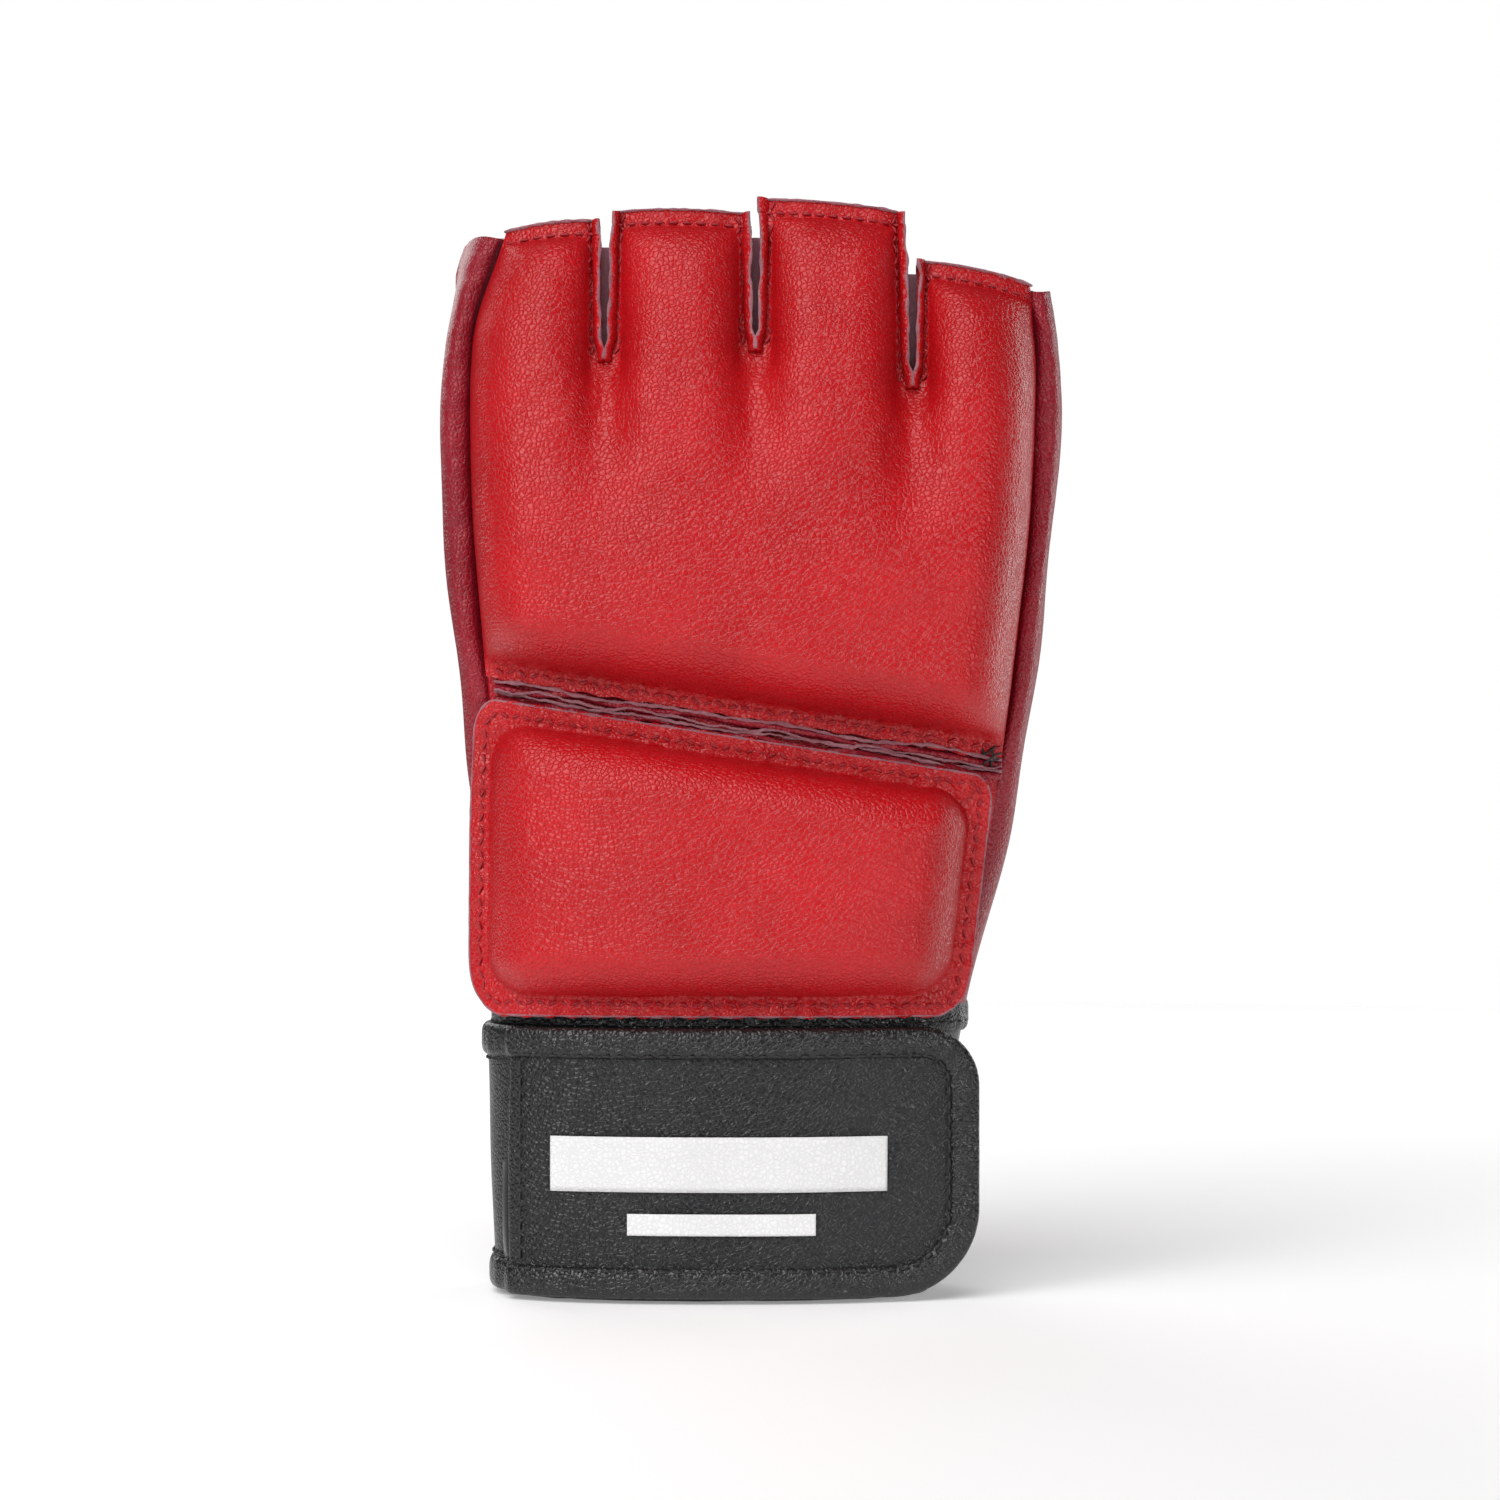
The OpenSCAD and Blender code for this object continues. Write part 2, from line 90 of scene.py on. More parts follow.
FINGER_HALF_W = (16.4, 14.6, 15.0, 13.6)
FINGER_HALF_D = 15.0
FINGER_BACK_D = (11.1, 15.0, 15.0, 12.1)
FINGER_TOP = ((219.0, 220.8), (222.6, 222.0), (225.0, 222.4), (212.6, 208.2))
SLEEVE_TOP = (211.0, 218.5, 213.5, 207.5)
FINGERS = ("index", "middle", "ring", "little")
VENTS = ((-45.2, 178.5), (-15.8, 181.5), (13.6, 184.0), (44.2, 184.0))
VENT_TURN = 32.0
VENT_HALF_TURN = 17.0
VENT_LOW_HALF_TURN = 9.0
VENT_ROUND_Z = 95.0
VENT_ROUND_H = 13.0
# The glove's own middle sits this far from the middle of its box
TO_ORIGIN = np.array([-1.113, 6.419, 0.0])
TO_PALM = (0, 1.0, 0)
TO_BACK = (0, -1.0, 0)
# Two body names and a start and end point, in metres, given to soft pieces; this script only bakes such a
# piece's transform and leaves it without a body
CURL_BLEND = ("glove", "fingers", (0, 0, 0.160), (0, 0, 0.198))
FLAP_BLEND = ("glove", "strap", (-.0487, -.0080, 0), (-.0405, -.0140, 0))


# ---- Small maths ----
def smooth(a, b, x):
    """0 before a, 1 after b, and a smooth step between."""
    t = np.clip((x - a) / (b - a), 0, 1)
    return t * t * (3 - 2 * t)


def mix(a, b, t):
    return a + (b - a) * t


def column(start, end, count):
    return np.linspace(start, end, count)[:, None]


def row(start, end, count):
    return np.linspace(start, end, count)[None, :]


def curve(knots, length=1, height=1):
    """A smoothed line through [x, y] knots, in shares of length and height, as a function of x."""
    xs, ys = np.array(knots, float).T
    fine = np.linspace(xs[0], xs[-1], 401)
    line = np.interp(fine, xs, ys)
    kernel = np.hanning(61)
    kernel /= kernel.sum()
    padded = np.concatenate([2 * line[0] - line[30:0:-1], line, 2 * line[-1] - line[-2:-32:-1]])
    soft = np.convolve(padded, kernel, "valid")
    return lambda x: height * np.interp(np.asarray(x) / length, fine, soft)


def ripple(a, b, seed, size):
    """Smooth irregular waves over two coordinates, about -1 to 1; size is the shortest wave."""
    count = 7
    rng = np.random.default_rng(seed)
    out = 0.0
    for _ in range(count):
        way = rng.uniform(0, 2 * pi)
        wave = size * rng.uniform(1, 3)
        phase = rng.uniform(0, 2 * pi)
        out = out + np.sin((a * cos(way) + b * sin(way)) * 2 * pi / wave + phase)
    return out / sqrt(count)


def unit(v):
    return v / np.maximum(np.linalg.norm(v, axis=-1, keepdims=True), 1e-9)


def full_turn(count):
    return np.linspace(0, 2 * pi, count, endpoint=False)


def power_wave(v, power=SQUARENESS):
    """A sine or cosine flattened so that a circle becomes a rounded box."""
    return np.sign(v) * np.abs(v) ** (2 / power)


# ---- Shape of the hand, the same as in the CAD ----
half_w = curve([[0, .336], [.265, .374], [.42, .427], [.55, .46], [.71, .492], [.84, .5], [1, .473]],
               GLOVE_H, KNUCKLE_W)
mid_x = curve([[0, -.046], [.265, -.023], [.42, 0], [1, .012]], GLOVE_H, KNUCKLE_W)
half_d = curve([[0, .6], [.265, .58], [.42, .54], [.71, .5], [.84, .47], [1, .4]], GLOVE_H, HAND_D)


def skin(z, turn, d):
    """Point at height z and turn round the hand in degrees, pushed out from the leather by d."""
    z, turn, d = np.broadcast_arrays(z, turn, d)
    a = np.radians(turn)
    x = mid_x(z) + (half_w(z) + d) * power_wave(np.cos(a))
    return np.stack([x, (half_d(z) + d) * power_wave(np.sin(a)), z], -1)


def skin_path(z, turn, d):
    """Points and outward directions at these heights, turns and depths."""
    points = skin(z, turn, d)
    return points, unit(skin(z, turn, d + 1) - points)


def face_y(x, z, d):
    """y of the palm at x and z, pushed out by d; the back's is its negative."""
    e = np.clip(np.abs(x - mid_x(z)) / (half_w(z) + d), 0, 1) ** SQUARENESS
    return (half_d(z) + d) * np.maximum(0, 1 - e) ** (1 / SQUARENESS)


def back_point(x, z, d):
    """Point on the back of the hand at x and z, pushed out by d."""
    x, z, d = np.broadcast_arrays(x, z, d)
    return np.stack([x, -face_y(x, z, d), z], -1)


def loop_skin(n, z, turn, d):
    """Point on finger n's loop."""
    z, turn = np.broadcast_arrays(z, turn)
    a = np.radians(turn)
    x = FINGER_X[n] + (FINGER_HALF_W[n] + d) * power_wave(np.cos(a))
    return np.stack([x, (FINGER_HALF_D + d) * power_wave(np.sin(a)), z], -1)


def pad_seam(x):
    return PAD_SEAM_Z - PAD_SEAM_SLOPE * x


def finger_share(z):
    """0 in the hand, 1 where each finger has its own loop."""
    return smooth(172, 193, z)


def rise(s, r=PAD_EDGE_R):
    """Height of a rounded edge of radius r, as a share, at distance s inside it."""
    t = 1 - np.clip(s, 0, r) / r
    return np.sqrt(np.maximum(0, 1 - t * t))


def facing(points, way):
    """One direction for every point."""
    return np.broadcast_to(way, points.shape)


def on_surface(surface, x, z, lift, side=-1, step=.5):
    """Points lifted off a surface, and outward directions; side is 1 for the palm, -1 for the back."""
    dx = surface(x + step, z) - surface(x - step, z)
    dz = surface(x, z + step) - surface(x, z - step)
    n = unit(np.cross(dx, dz))
    n = n * np.sign(side * n[..., 1:2])
    return surface(x, z) + n * np.asarray(lift)[..., None], n


# ---- Mesh builders ----
def add_object(name, data):
    obj = bpy.data.objects.new(name, data)
    bpy.context.scene.collection.objects.link(obj)
    return obj


def piece(name, mesh, material, inner=None, thickness=0.0, offset=-1.0, blend=None, body="glove",
          replaces=()):
    """An object from points in millimetres and faces, with its material and thickness, hung under its body,
    or left free with its transform baked if it has a blend; it hides the CAD parts it replaces.
    """
    points, faces = mesh
    look, finish = M[material]
    verts = (points + TO_ORIGIN) * MM
    mesh = bpy.data.meshes.new(name)
    mesh.from_pydata(verts.tolist(), [], [tuple(int(i) for i in f) for f in faces])
    mesh.update()
    mesh.polygons.foreach_set("use_smooth", [True] * len(mesh.polygons))
    # The resting place, which the materials are drawn in
    rest = mesh.attributes.new("rest", "FLOAT_VECTOR", "POINT")
    rest.data.foreach_set("vector", verts.astype(np.float32).ravel())
    mesh.materials.append(look)
    obj = add_object(name, mesh)
    if thickness:
        mesh.materials.append(M[inner or material][0])
        solid = obj.modifiers.new("thickness", "SOLIDIFY")
        solid.thickness = thickness * MM
        solid.offset = offset
        solid.use_even_offset = False
        solid.material_offset = 1
        solid.material_offset_rim = 1
    if blend:
        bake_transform(obj)
    else:
        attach(obj, body)
    if replaces:
        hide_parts(*replaces)
    return obj


def grid_faces(rows, cols, wrap=False):
    last = cols if wrap else cols - 1
    j, i = np.meshgrid(np.arange(rows - 1), np.arange(last), indexing="ij")
    j, i = j.ravel(), i.ravel()
    k = (i + 1) % cols
    return np.stack([j * cols + i, j * cols + k, (j + 1) * cols + k, (j + 1) * cols + i], -1)


def sheet(points, wrap=False, flip=False):
    """Points and faces of a grid of points; wrap closes its rows, flip turns its outer side over."""
    faces = grid_faces(*points.shape[:2], wrap)
    return points.reshape(-1, 3), faces[:, ::-1] if flip else faces


def merge(points, faces, limit=0.02):
    """Joins points that lie together, so that patches that meet are one sheet."""
    key = np.round(points / limit).astype(np.int64)
    _, first, back = np.unique(key, axis=0, return_index=True, return_inverse=True)
    back = back.ravel()
    faces = [tuple(dict.fromkeys(int(back[i]) for i in f)) for f in faces]
    once = {frozenset(f): f for f in faces if len(f) >= 3}
    return points[first], list(once.values())


def join(parts):
    """One list of points and faces from several."""
    points, faces, start = [], [], 0
    for p, f in parts:
        points.append(p)
        faces += [tuple(int(i) + start for i in face) for face in f]
        start += len(p)
    return np.concatenate(points), faces


def tube_faces(rings, sides):
    """Faces of a closed bar of rings, with an end cap on each end."""
    faces = list(map(tuple, grid_faces(rings, sides, True)))
    return faces + [tuple(range(sides - 1, -1, -1)), tuple((rings - 1) * sides + i for i in range(sides))]


def sweep(points, normals, w, h, sides=12, power=2.0, closed=False):
    """A rounded bar along a path, w to each side and h out of the surface: numbers, or one per point."""
    normals = unit(normals)
    ahead = np.roll(points, -1, 0) - np.roll(points, 1, 0)
    if not closed:
        ahead[0], ahead[-1] = points[1] - points[0], points[-1] - points[-2]
    side = unit(np.cross(unit(ahead), normals))
    count = len(points)
    w, h = np.broadcast_to(w, count)[:, None, None], np.broadcast_to(h, count)[:, None, None]
    a = full_turn(sides)
    c, s = power_wave(np.cos(a), power)[:, None], power_wave(np.sin(a), power)[:, None]
    ring = points[:, None] + side[:, None] * w * c + normals[:, None] * h * s
    faces = tube_faces(count, sides)
    if closed:
        last = (count - 1) * sides
        faces = faces[:-2] + [(last + i, last + (i + 1) % sides, (i + 1) % sides, i) for i in range(sides)]
    return ring.reshape(-1, 3), faces


def resample(points, normals, pitch, closed=False):
    """Points and normals at even steps of about pitch along a path."""
    if closed:
        points, normals = np.vstack([points, points[:1]]), np.vstack([normals, normals[:1]])
    run = np.concatenate([[0], np.cumsum(np.linalg.norm(np.diff(points, axis=0), axis=1))])
    at = np.linspace(0, run[-1], max(2, int(run[-1] / pitch)) + 1)
    pick = lambda arr: np.stack([np.interp(at, run, arr[:, k]) for k in range(3)], -1)
    return pick(points), unit(pick(normals))


def stitches(points, normals, pitch=3.0, radius=.3, zigzag=0.0, closed=False):
    """Thread showing along a path: one short rounded stitch each pitch, sunk into the surface at its ends."""
    fill, lift, sides, rings = .74, .12, 6, 7
    at, up = resample(points, normals, pitch, closed)
    parts = []
    a = full_turn(sides)
    s = column(0, 1, rings)
    body = np.sqrt(np.maximum(.02, 1 - (2 * s - 1) ** 4)) * radius
    sink = lift - radius * 1.3 * (2 * s - 1) ** 2 * .8
    for k in range(len(at) - 1):
        ahead = at[k + 1] - at[k]
        n = unit(up[k] + up[k + 1])
        jog = unit(np.cross(ahead, n)) * zigzag * (1 if k % 2 else -1)
        start = at[k] + jog + ahead * (1 - fill) / 2
        end = at[k + 1] - jog - ahead * (1 - fill) / 2
        side = unit(np.cross(unit(end - start), n))
        mid = start + (end - start) * s + n * sink
        ring = mid[:, None] + side * (body * np.cos(a))[..., None] + n * (body * np.sin(a))[..., None]
        parts.append((ring.reshape(-1, 3), tube_faces(rings, sides)))
    return join(parts)


def puckers(count, seed, wave=.05, fine=.03, rate=1.7, size=5):
    """Share by which a tape swells along its count points, as its stitches pull it."""
    at = np.arange(count) * 1.0
    return 1 + wave * ripple(at, 0, seed, size) + fine * np.sin(at * rate)


# ---- Materials ----
BLACK, GREY, WHITE = (0, 0, 0), (.6, .6, .6), (1, 1, 1)


def node(tree, kind, inputs=(), **settings):
    """A new node with these settings; each of its inputs is a plain value or another node's output."""
    new = tree.nodes.new("ShaderNode" + kind)
    for key, value in settings.items():
        setattr(new, key, value)
    for key, value in dict(inputs).items():
        if isinstance(value, bpy.types.NodeSocket):
            tree.links.new(value, new.inputs[key])
        else:
            new.inputs[key].default_value = value
    return new


def new_material(name):
    """A material, its empty node tree, and the resting place that its textures are drawn in."""
    material = bpy.data.materials.new(name)
    material.use_nodes = True
    tree = material.node_tree
    tree.nodes.clear()
    return material, tree, node(tree, "Attribute", attribute_name="rest").outputs["Vector"]


def shade(tree, **inputs):
    """Ends a material with a shader that has these inputs, named with _ for a space."""
    shader = node(tree, "BsdfPrincipled", {key.replace("_", " "): value for key, value in inputs.items()})
    node(tree, "OutputMaterial", {"Surface": shader.outputs[0]})


def calc(tree, operation, *values):
    return node(tree, "Math", enumerate(values), operation=operation).outputs[0]


def stretched(tree, vector, scale):
    return node(tree, "Mapping", {"Vector": vector, "Scale": scale}).outputs[0]


def noise(tree, vector, scale, detail=2.0, rough=.5, output="Fac"):
    inputs = {"Vector": vector, "Scale": scale, "Detail": detail, "Roughness": rough}
    return node(tree, "TexNoise", inputs).outputs[output]


def ramp(tree, value, *stops):
    new = node(tree, "ValToRGB", {0: value})
    elements = new.color_ramp.elements
    while len(elements) < len(stops):
        elements.new(.5)
    for element, (at, colour) in zip(elements, stops):
        element.position = at
        element.color = (*colour, 1)
    return new.outputs[0]


def bump(tree, height, strength, distance, **normal):
    inputs = {"Height": height, "Strength": strength, "Distance": distance, **normal}
    return node(tree, "Bump", inputs).outputs[0]


def leather(name, colour, dark, rough, cell, depth, crease, level=.4):
    """Pebbled leather: cells with grooves between them, painted shade that darkens the grooves, pores, soft
    creases and slightly varied colour.
    """
    material, tree, rest = new_material(name)
    sway = {0: noise(tree, rest, 420, output="Color"), 1: (.0009, .0009, .0009), 2: rest}
    warp = node(tree, "VectorMath", sway, operation="MULTIPLY_ADD").outputs[0]
    cells = node(tree, "TexVoronoi", {"Vector": warp, "Scale": 1 / (cell * MM)}, feature="DISTANCE_TO_EDGE")
    groove = ramp(tree, cells.outputs["Distance"], (0, BLACK), (.12, GREY), (.4, WHITE))
    fold = noise(tree, stretched(tree, rest, (1, 1, .45)), 120, 4, .6)
    fold = ramp(tree, fold, (.40, WHITE), (.5, BLACK), (.60, WHITE))
    patch = noise(tree, rest, 38, 3, .55)
    # Painted shade: the grooves between the cells are mixed towards a colour darker than the leather's own
    groove_shade = calc(tree, "MULTIPLY", calc(tree, "SUBTRACT", 1.0, groove), .3)
    tones = {"Factor": groove_shade, "A": ramp(tree, patch, (.3, dark), (.7, colour)),
             "B": (*[c * .62 for c in dark], 1)}
    normal = bump(tree, fold, .16 * crease, .0007)
    normal = bump(tree, groove, .75 * depth, .00027, Normal=normal)
    normal = bump(tree, noise(tree, rest, 2600, 3, .6), .2, .00014, Normal=normal)
    shade(tree, Base_Color=node(tree, "Mix", tones, data_type="RGBA").outputs["Result"], Normal=normal,
          Roughness=calc(tree, "MULTIPLY_ADD", patch, .16, rough - .08), Specular_IOR_Level=level)
    return material


def suede(name, colour, dark, scale=900):
    """Napped split leather: cloudy strokes over very fine fibre."""
    material, tree, rest = new_material(name)
    cloud = calc(tree, "MULTIPLY", noise(tree, rest, 90, 5, .68), .5)
    both = calc(tree, "MULTIPLY_ADD", noise(tree, rest, scale, 4, .7), .5, cloud)
    shade(tree, Base_Color=ramp(tree, both, (.34, dark), (.66, colour)), Normal=bump(tree, both, .8, .0005),
          Roughness=.95, Specular_IOR_Level=.12, Sheen_Weight=.35, Sheen_Roughness=.5)
    return material


def woven(name, colour, dark, pitch, rough=.8, depth=.6, sheen=.3, axes="XZ"):
    """Cloth with threads across these axes, pitch in millimetres."""
    material, tree, rest = new_material(name)
    split = node(tree, "SeparateXYZ", {0: rest})
    rate = 2 * pi / (pitch * MM)
    waves = [calc(tree, "SINE", calc(tree, "MULTIPLY", split.outputs[axis], rate)) for axis in axes]
    height = calc(tree, "MULTIPLY", *waves) if len(waves) > 1 else waves[0]
    level = calc(tree, "MULTIPLY_ADD", height, .5, .5)
    total = calc(tree, "MULTIPLY_ADD", noise(tree, rest, 1500, 3, .6), .5, level)
    shade(tree, Base_Color=ramp(tree, total, (.25, dark), (1, colour)),
          Normal=bump(tree, total, depth, .0003),
          Roughness=rough, Specular_IOR_Level=.25, Sheen_Weight=sheen)
    return material


def thread(name, colour):
    """Twisted sewing thread."""
    material, tree, rest = new_material(name)
    twist = noise(tree, stretched(tree, rest, (1, 1, 3)), 3500)
    base = ramp(tree, twist, (.35, tuple(c * .55 for c in colour)), (.65, colour))
    shade(tree, Base_Color=base, Normal=bump(tree, twist, .4, .0002), Roughness=.6)
    return material


# Each material, and a slot name kept beside it, which piece() reads but does not use
M = {
    "pad": (leather("red_pad_leather", (.54, .004, .009), (.42, .003, .006), .33, 1.0, .72, .7),
            "pad_leather"),
    "palm": (leather("red_palm_leather", (.52, .018, .030), (.42, .012, .022), .38, 1.2, 1.0, .9),
             "palm_leather"),
    "side": (leather("crimson_side_leather", (.33, .008, .022), (.25, .005, .016), .38, 1.05, .8, .8),
             "gusset_leather"),
    "raw": (suede("raw_leather_edge", (.42, .20, .23), (.20, .04, .065), 2200), "suede"),
    "suede": (suede("pink_suede_lining", (.47, .27, .325), (.36, .185, .235)), "suede"),
    "fabric": (woven("red_lining_fabric", (.52, .0, .018), (.33, .0, .01), .55, .75, .5, .35), "red_fabric"),
    "elastic": (woven("black_elastic_webbing", (.045, .045, .048), (.008, .008, .009), .5, .7, .5, .15, "Z"),
                "elastic_webbing"),
    "cuff": (leather("black_cuff_leather", (.0105, .011, .012), (.007, .0075, .0085),
                     .31, .95, .85, .55, .45), "cuff_leather"),
    "binding": (leather("black_binding_leather", (.011, .011, .012), (.007, .007, .008),
                        .27, .9, .7, 1.0, .5), "binding"),
    "lining": (woven("black_lining_fabric", (.018, .018, .019), (.006, .006, .006), .8, .9), "lining"),
    "hook": (suede("hook_tape", (.012, .012, .013), (.002, .002, .002), 1600), "hook_and_loop"),
    "loop": (suede("loop_tape", (.02, .02, .021), (.004, .004, .004), 1300), "hook_and_loop"),
    "label": (woven("white_label_weave", (.74, .75, .82), (.58, .59, .66), .35, .8), "label"),
    "print": (leather("white_print", (.80, .80, .80), (.72, .72, .72), .5, .95, .5, .3), "print"),
    "red_thread": (thread("red_thread", (.42, .01, .02)), "pad_leather"),
    "black_thread": (thread("black_thread", (.02, .02, .021)), "binding"),
}


# ---- Pads on the back of the hand ----
def draw_in(z):
    """The index finger's side leans in towards its end."""
    return 5.5 * smooth(196, 226, z)


def back_edges(z):
    """x where the knuckle pad meets the index finger's side panel, and the little finger's."""
    return skin(z, BACK_SEAM_INDEX, 0)[..., 0] + draw_in(z), skin(z, BACK_SEAM_LITTLE, 0)[..., 0]


_crown = curve([[100, 1], [150, 1], [178, .86], [205, .62], [226, .44]])


def finger_top(n, u):
    """Height of the pad's end over finger n, for u across it."""
    ends = np.array(FINGER_TOP)[n]
    return mix(ends[..., 0], ends[..., 1], u) + .7 * np.sin(pi * np.clip(u, 0, 1)) ** .7


def lobe_top(x):
    """Height of the pad's end above x."""
    n = np.searchsorted(SLIT_X, x)
    edges = np.array([-52.0, *SLIT_X, 58.0])
    return finger_top(n, np.clip((x - edges[n]) / (edges[n + 1] - edges[n]), 0, 1))


def valley(x, z):
    """The pad sinks along the lines between the fingers and drops to sewn edges at the slits."""
    total = np.ones(np.broadcast(x, z).shape)
    for s, bottom in zip(SLIT_X, SLIT_BOTTOM_Z):
        away = np.abs(x - s)
        depth = .58 * smooth(bottom - 48, bottom + 2, z) ** 1.5
        spread = mix(8.5, 5.2, smooth(bottom - 45, bottom, z))
        soft = 1 - depth * np.exp(-(away / spread) ** 2)
        firm = .16 + .84 * rise(away - 3.4, 9.5)
        total = np.minimum(total, mix(soft, firm, smooth(bottom - 9, bottom + 3, z)))
    return total


def slit_creases(x, z):
    """Short creases that fan out of each slit's bottom."""
    total = np.zeros(np.broadcast(x, z).shape)
    for k, (s, bottom) in enumerate(zip(SLIT_X, SLIT_BOTTOM_Z)):
        dx, dz = x - s, bottom - z
        r = np.hypot(dx, dz)
        way = np.degrees(np.arctan2(dx, dz))
        fade = np.exp(-(r / 17) ** 2) * smooth(1.5, 5, r)
        for m, aim in enumerate((-78, -58, -41, -22, -5, 12, 30, 47, 66, 84)):
            wander = 4 * np.sin(r * .4 + k * 2 + m)
            depth = .22 + .16 * ((m * 7 + k * 3) % 4) / 3
            total -= fade * depth * np.exp(-((way - aim - wander) * r / 57 / .75) ** 2)
    return total


def knuckle_rise(x, z):
    """Height of the knuckle pad: puffed in the middle, flat and puckered at its sewn edges."""
    left, right = back_edges(z)
    edge = np.minimum(x - left, right - x)
    end = .18 + .82 * rise(lobe_top(x) - z - 3.4, 9)
    low = rise(z - pad_seam(x) - 4.8, 11)
    puff = KNUCKLE_PAD_T * _crown(z) * valley(x, z) * rise(edge - .2, 12) * low * end
    soft = .35 * ripple(x, z, 5, 26) + .14 * ripple(x, z, 6, 11)
    flange = .42 * ripple(x, z * .3, 9, 2.5) * smooth(2.2, .4, puff)
    # Fine lines across the lobes near the slits
    near = np.min([np.abs(x - s) for s in SLIT_X], axis=0)
    fine = .10 * ripple(x * .25, z, 8, 2.6) * np.exp(-(near / 12) ** 2) * smooth(180, 200, z)
    return np.maximum(puff + (slit_creases(x, z) + fine + soft) * smooth(0, 6, puff) + flange, -.2)


def cover_point(x, z):
    """Outer surface of the knuckle pad."""
    return back_point(x, z, 1.9 + knuckle_rise(x, z))


def slit_half(n, z):
    """Half width of slit n."""
    share = smooth(SLIT_BOTTOM_Z[n] - .5, SLIT_BOTTOM_Z[n] + 4, z)
    return share * (.75 + .02 * (z - SLIT_BOTTOM_Z[n])) + .05 * share * np.sin(z * .9 + n)


def lobe_x(n, u, z):
    """x on finger n's lobe for u across it, from slit to slit or to the pad's edge."""
    left, right = back_edges(z)
    low = left if n == 0 else SLIT_X[n - 1] + slit_half(n - 1, z)
    high = right if n == 3 else SLIT_X[n] - slit_half(n, z)
    return mix(low, high, u)


def make_knuckle_pad():
    cols, base_rows, lobe_rows, roll_rows, wall_rows = 46, 96, 56, 7, 6
    parts = []
    u = row(0, 1, cols)
    for n in range(4):
        x_seam = lobe_x(n, u, 150.0)
        z_low = pad_seam(x_seam) + 1.0 + .21 * np.sin(x_seam * .9)
        z_slit = mix(SLIT_BOTTOM_Z[max(n - 1, 0)], SLIT_BOTTOM_Z[min(n, 2)], smooth(0, 1, u))
        z = mix(z_low, z_slit, column(0, 1, base_rows))
        parts.append(sheet(cover_point(lobe_x(n, u, z), z)))
        z = mix(z_slit, finger_top(n, u), column(0, 1, lobe_rows))
        lobe = cover_point(lobe_x(n, u, z), z)
        # The top and the free sides roll over towards the lining
        inner_y = -(FINGER_HALF_D - .6) * np.maximum(.35, 1 - np.abs(2 * u - 1) ** 4 * .35)
        s = column(.12, 1, roll_rows)
        roll = np.repeat(lobe[-1:], roll_rows, 0)
        roll[..., 1] = mix(roll[..., 1], inner_y, s)
        roll[..., 2] += 1.2 * np.sin(pi * s) - 1.5 * s
        parts.append(sheet(np.concatenate([lobe, roll])))
        s = column(0, 1, wall_rows)
        for edge in [0] * (n > 0) + [-1] * (n < 3):
            wall = np.repeat(lobe[None, :, edge], wall_rows, 0)
            wall[..., 1] = mix(wall[..., 1], -9.0, s)
            wall[..., 0] += (-.5 if edge else .5) * np.sin(pi * s)
            parts.append(sheet(wall if edge else wall[::-1], flip=True))
    covers = [f + part for part in ("_cover", "_foam") for f in FINGERS]
    pad = piece("knuckle_pad", merge(*join(parts)), "pad", blend=CURL_BLEND,
                replaces=["knuckle_pad_cover", "knuckle_pad_foam"] + covers)


WRIST_PAD_Z = CUFF_SEAM_Z - 4
FLANGE_W = 4.5
WRIST_PAD_OVER = 9.0
wrist_low = curve([[56, -53.6], [62, -55.8], [68, -57], [100, -56.6], [130, -55.2]])
wrist_high = curve([[56, 42.6], [62, 45.6], [68, 46.8], [90, 49.4], [112, 52]])


def wrist_rise(x, z):
    """Height of the wrist pad, with corners rounded in plan and a puckered flange."""
    corner_r = 8.0
    side = np.minimum(x - wrist_low(z), wrist_high(z) - x) - FLANGE_W
    up = np.minimum(z - WRIST_PAD_Z, pad_seam(x) - 3 - z) - FLANGE_W
    both = corner_r - np.hypot(np.maximum(corner_r - side, 0), np.maximum(corner_r - up, 0))
    inset = np.where((side < corner_r) & (up < corner_r), both, np.minimum(side, up))
    puff = WRIST_PAD_T * rise(inset, 10)
    soft = .3 * ripple(x, z, 15, 22) + .1 * ripple(x, z, 16, 9)
    pucker = np.where(side < up, ripple(x * .3, z, 17, 2.4), ripple(x, z * .3, 18, 2.4))
    total = puff + soft * smooth(0, 6, puff) + .5 * pucker * smooth(2, 0, puff) + .5 * smooth(.8, -3.5, inset)
    return np.maximum(total, -.2)


def wrist_point(x, z):
    """Outer surface of the wrist pad, which stands out past the hand at its sides."""
    d = 2.2 + wrist_rise(x, z)
    e = np.clip(np.abs(x - mid_x(z)) / (half_w(z) + WRIST_PAD_OVER), 0, 1) ** SQUARENESS
    return np.stack([x, -(half_d(z) + d) * (1 - e) ** (1 / SQUARENESS), z], -1)


def wrist_plan(u, v):
    """x and z on the wrist pad for u across and v up, with rounded flange corners."""
    z = mix(WRIST_PAD_Z, pad_seam(mix(-56, 51, u)) - 3, v)
    pinch = 5.0 * (1 - rise(np.minimum(v, 1 - v) * 60, 7))
    x = mix(wrist_low(z) + pinch, wrist_high(z) - pinch, u)
    return x, mix(WRIST_PAD_Z, pad_seam(x) - 3, v)


def wrist_ring(count, u_inset, v_inset):
    """x and z round the wrist pad, this share inside its rim, with count points to a side."""
    q = np.linspace(0, 1, count)
    u = np.concatenate([q, 1 + 0 * q[1:], q[::-1][1:], 0 * q[1:-1]])
    v = np.concatenate([0 * q, q[1:], 1 + 0 * q[1:], q[::-1][1:-1]])
    return wrist_plan(mix(u_inset, 1 - u_inset, u), mix(v_inset, 1 - v_inset, v))


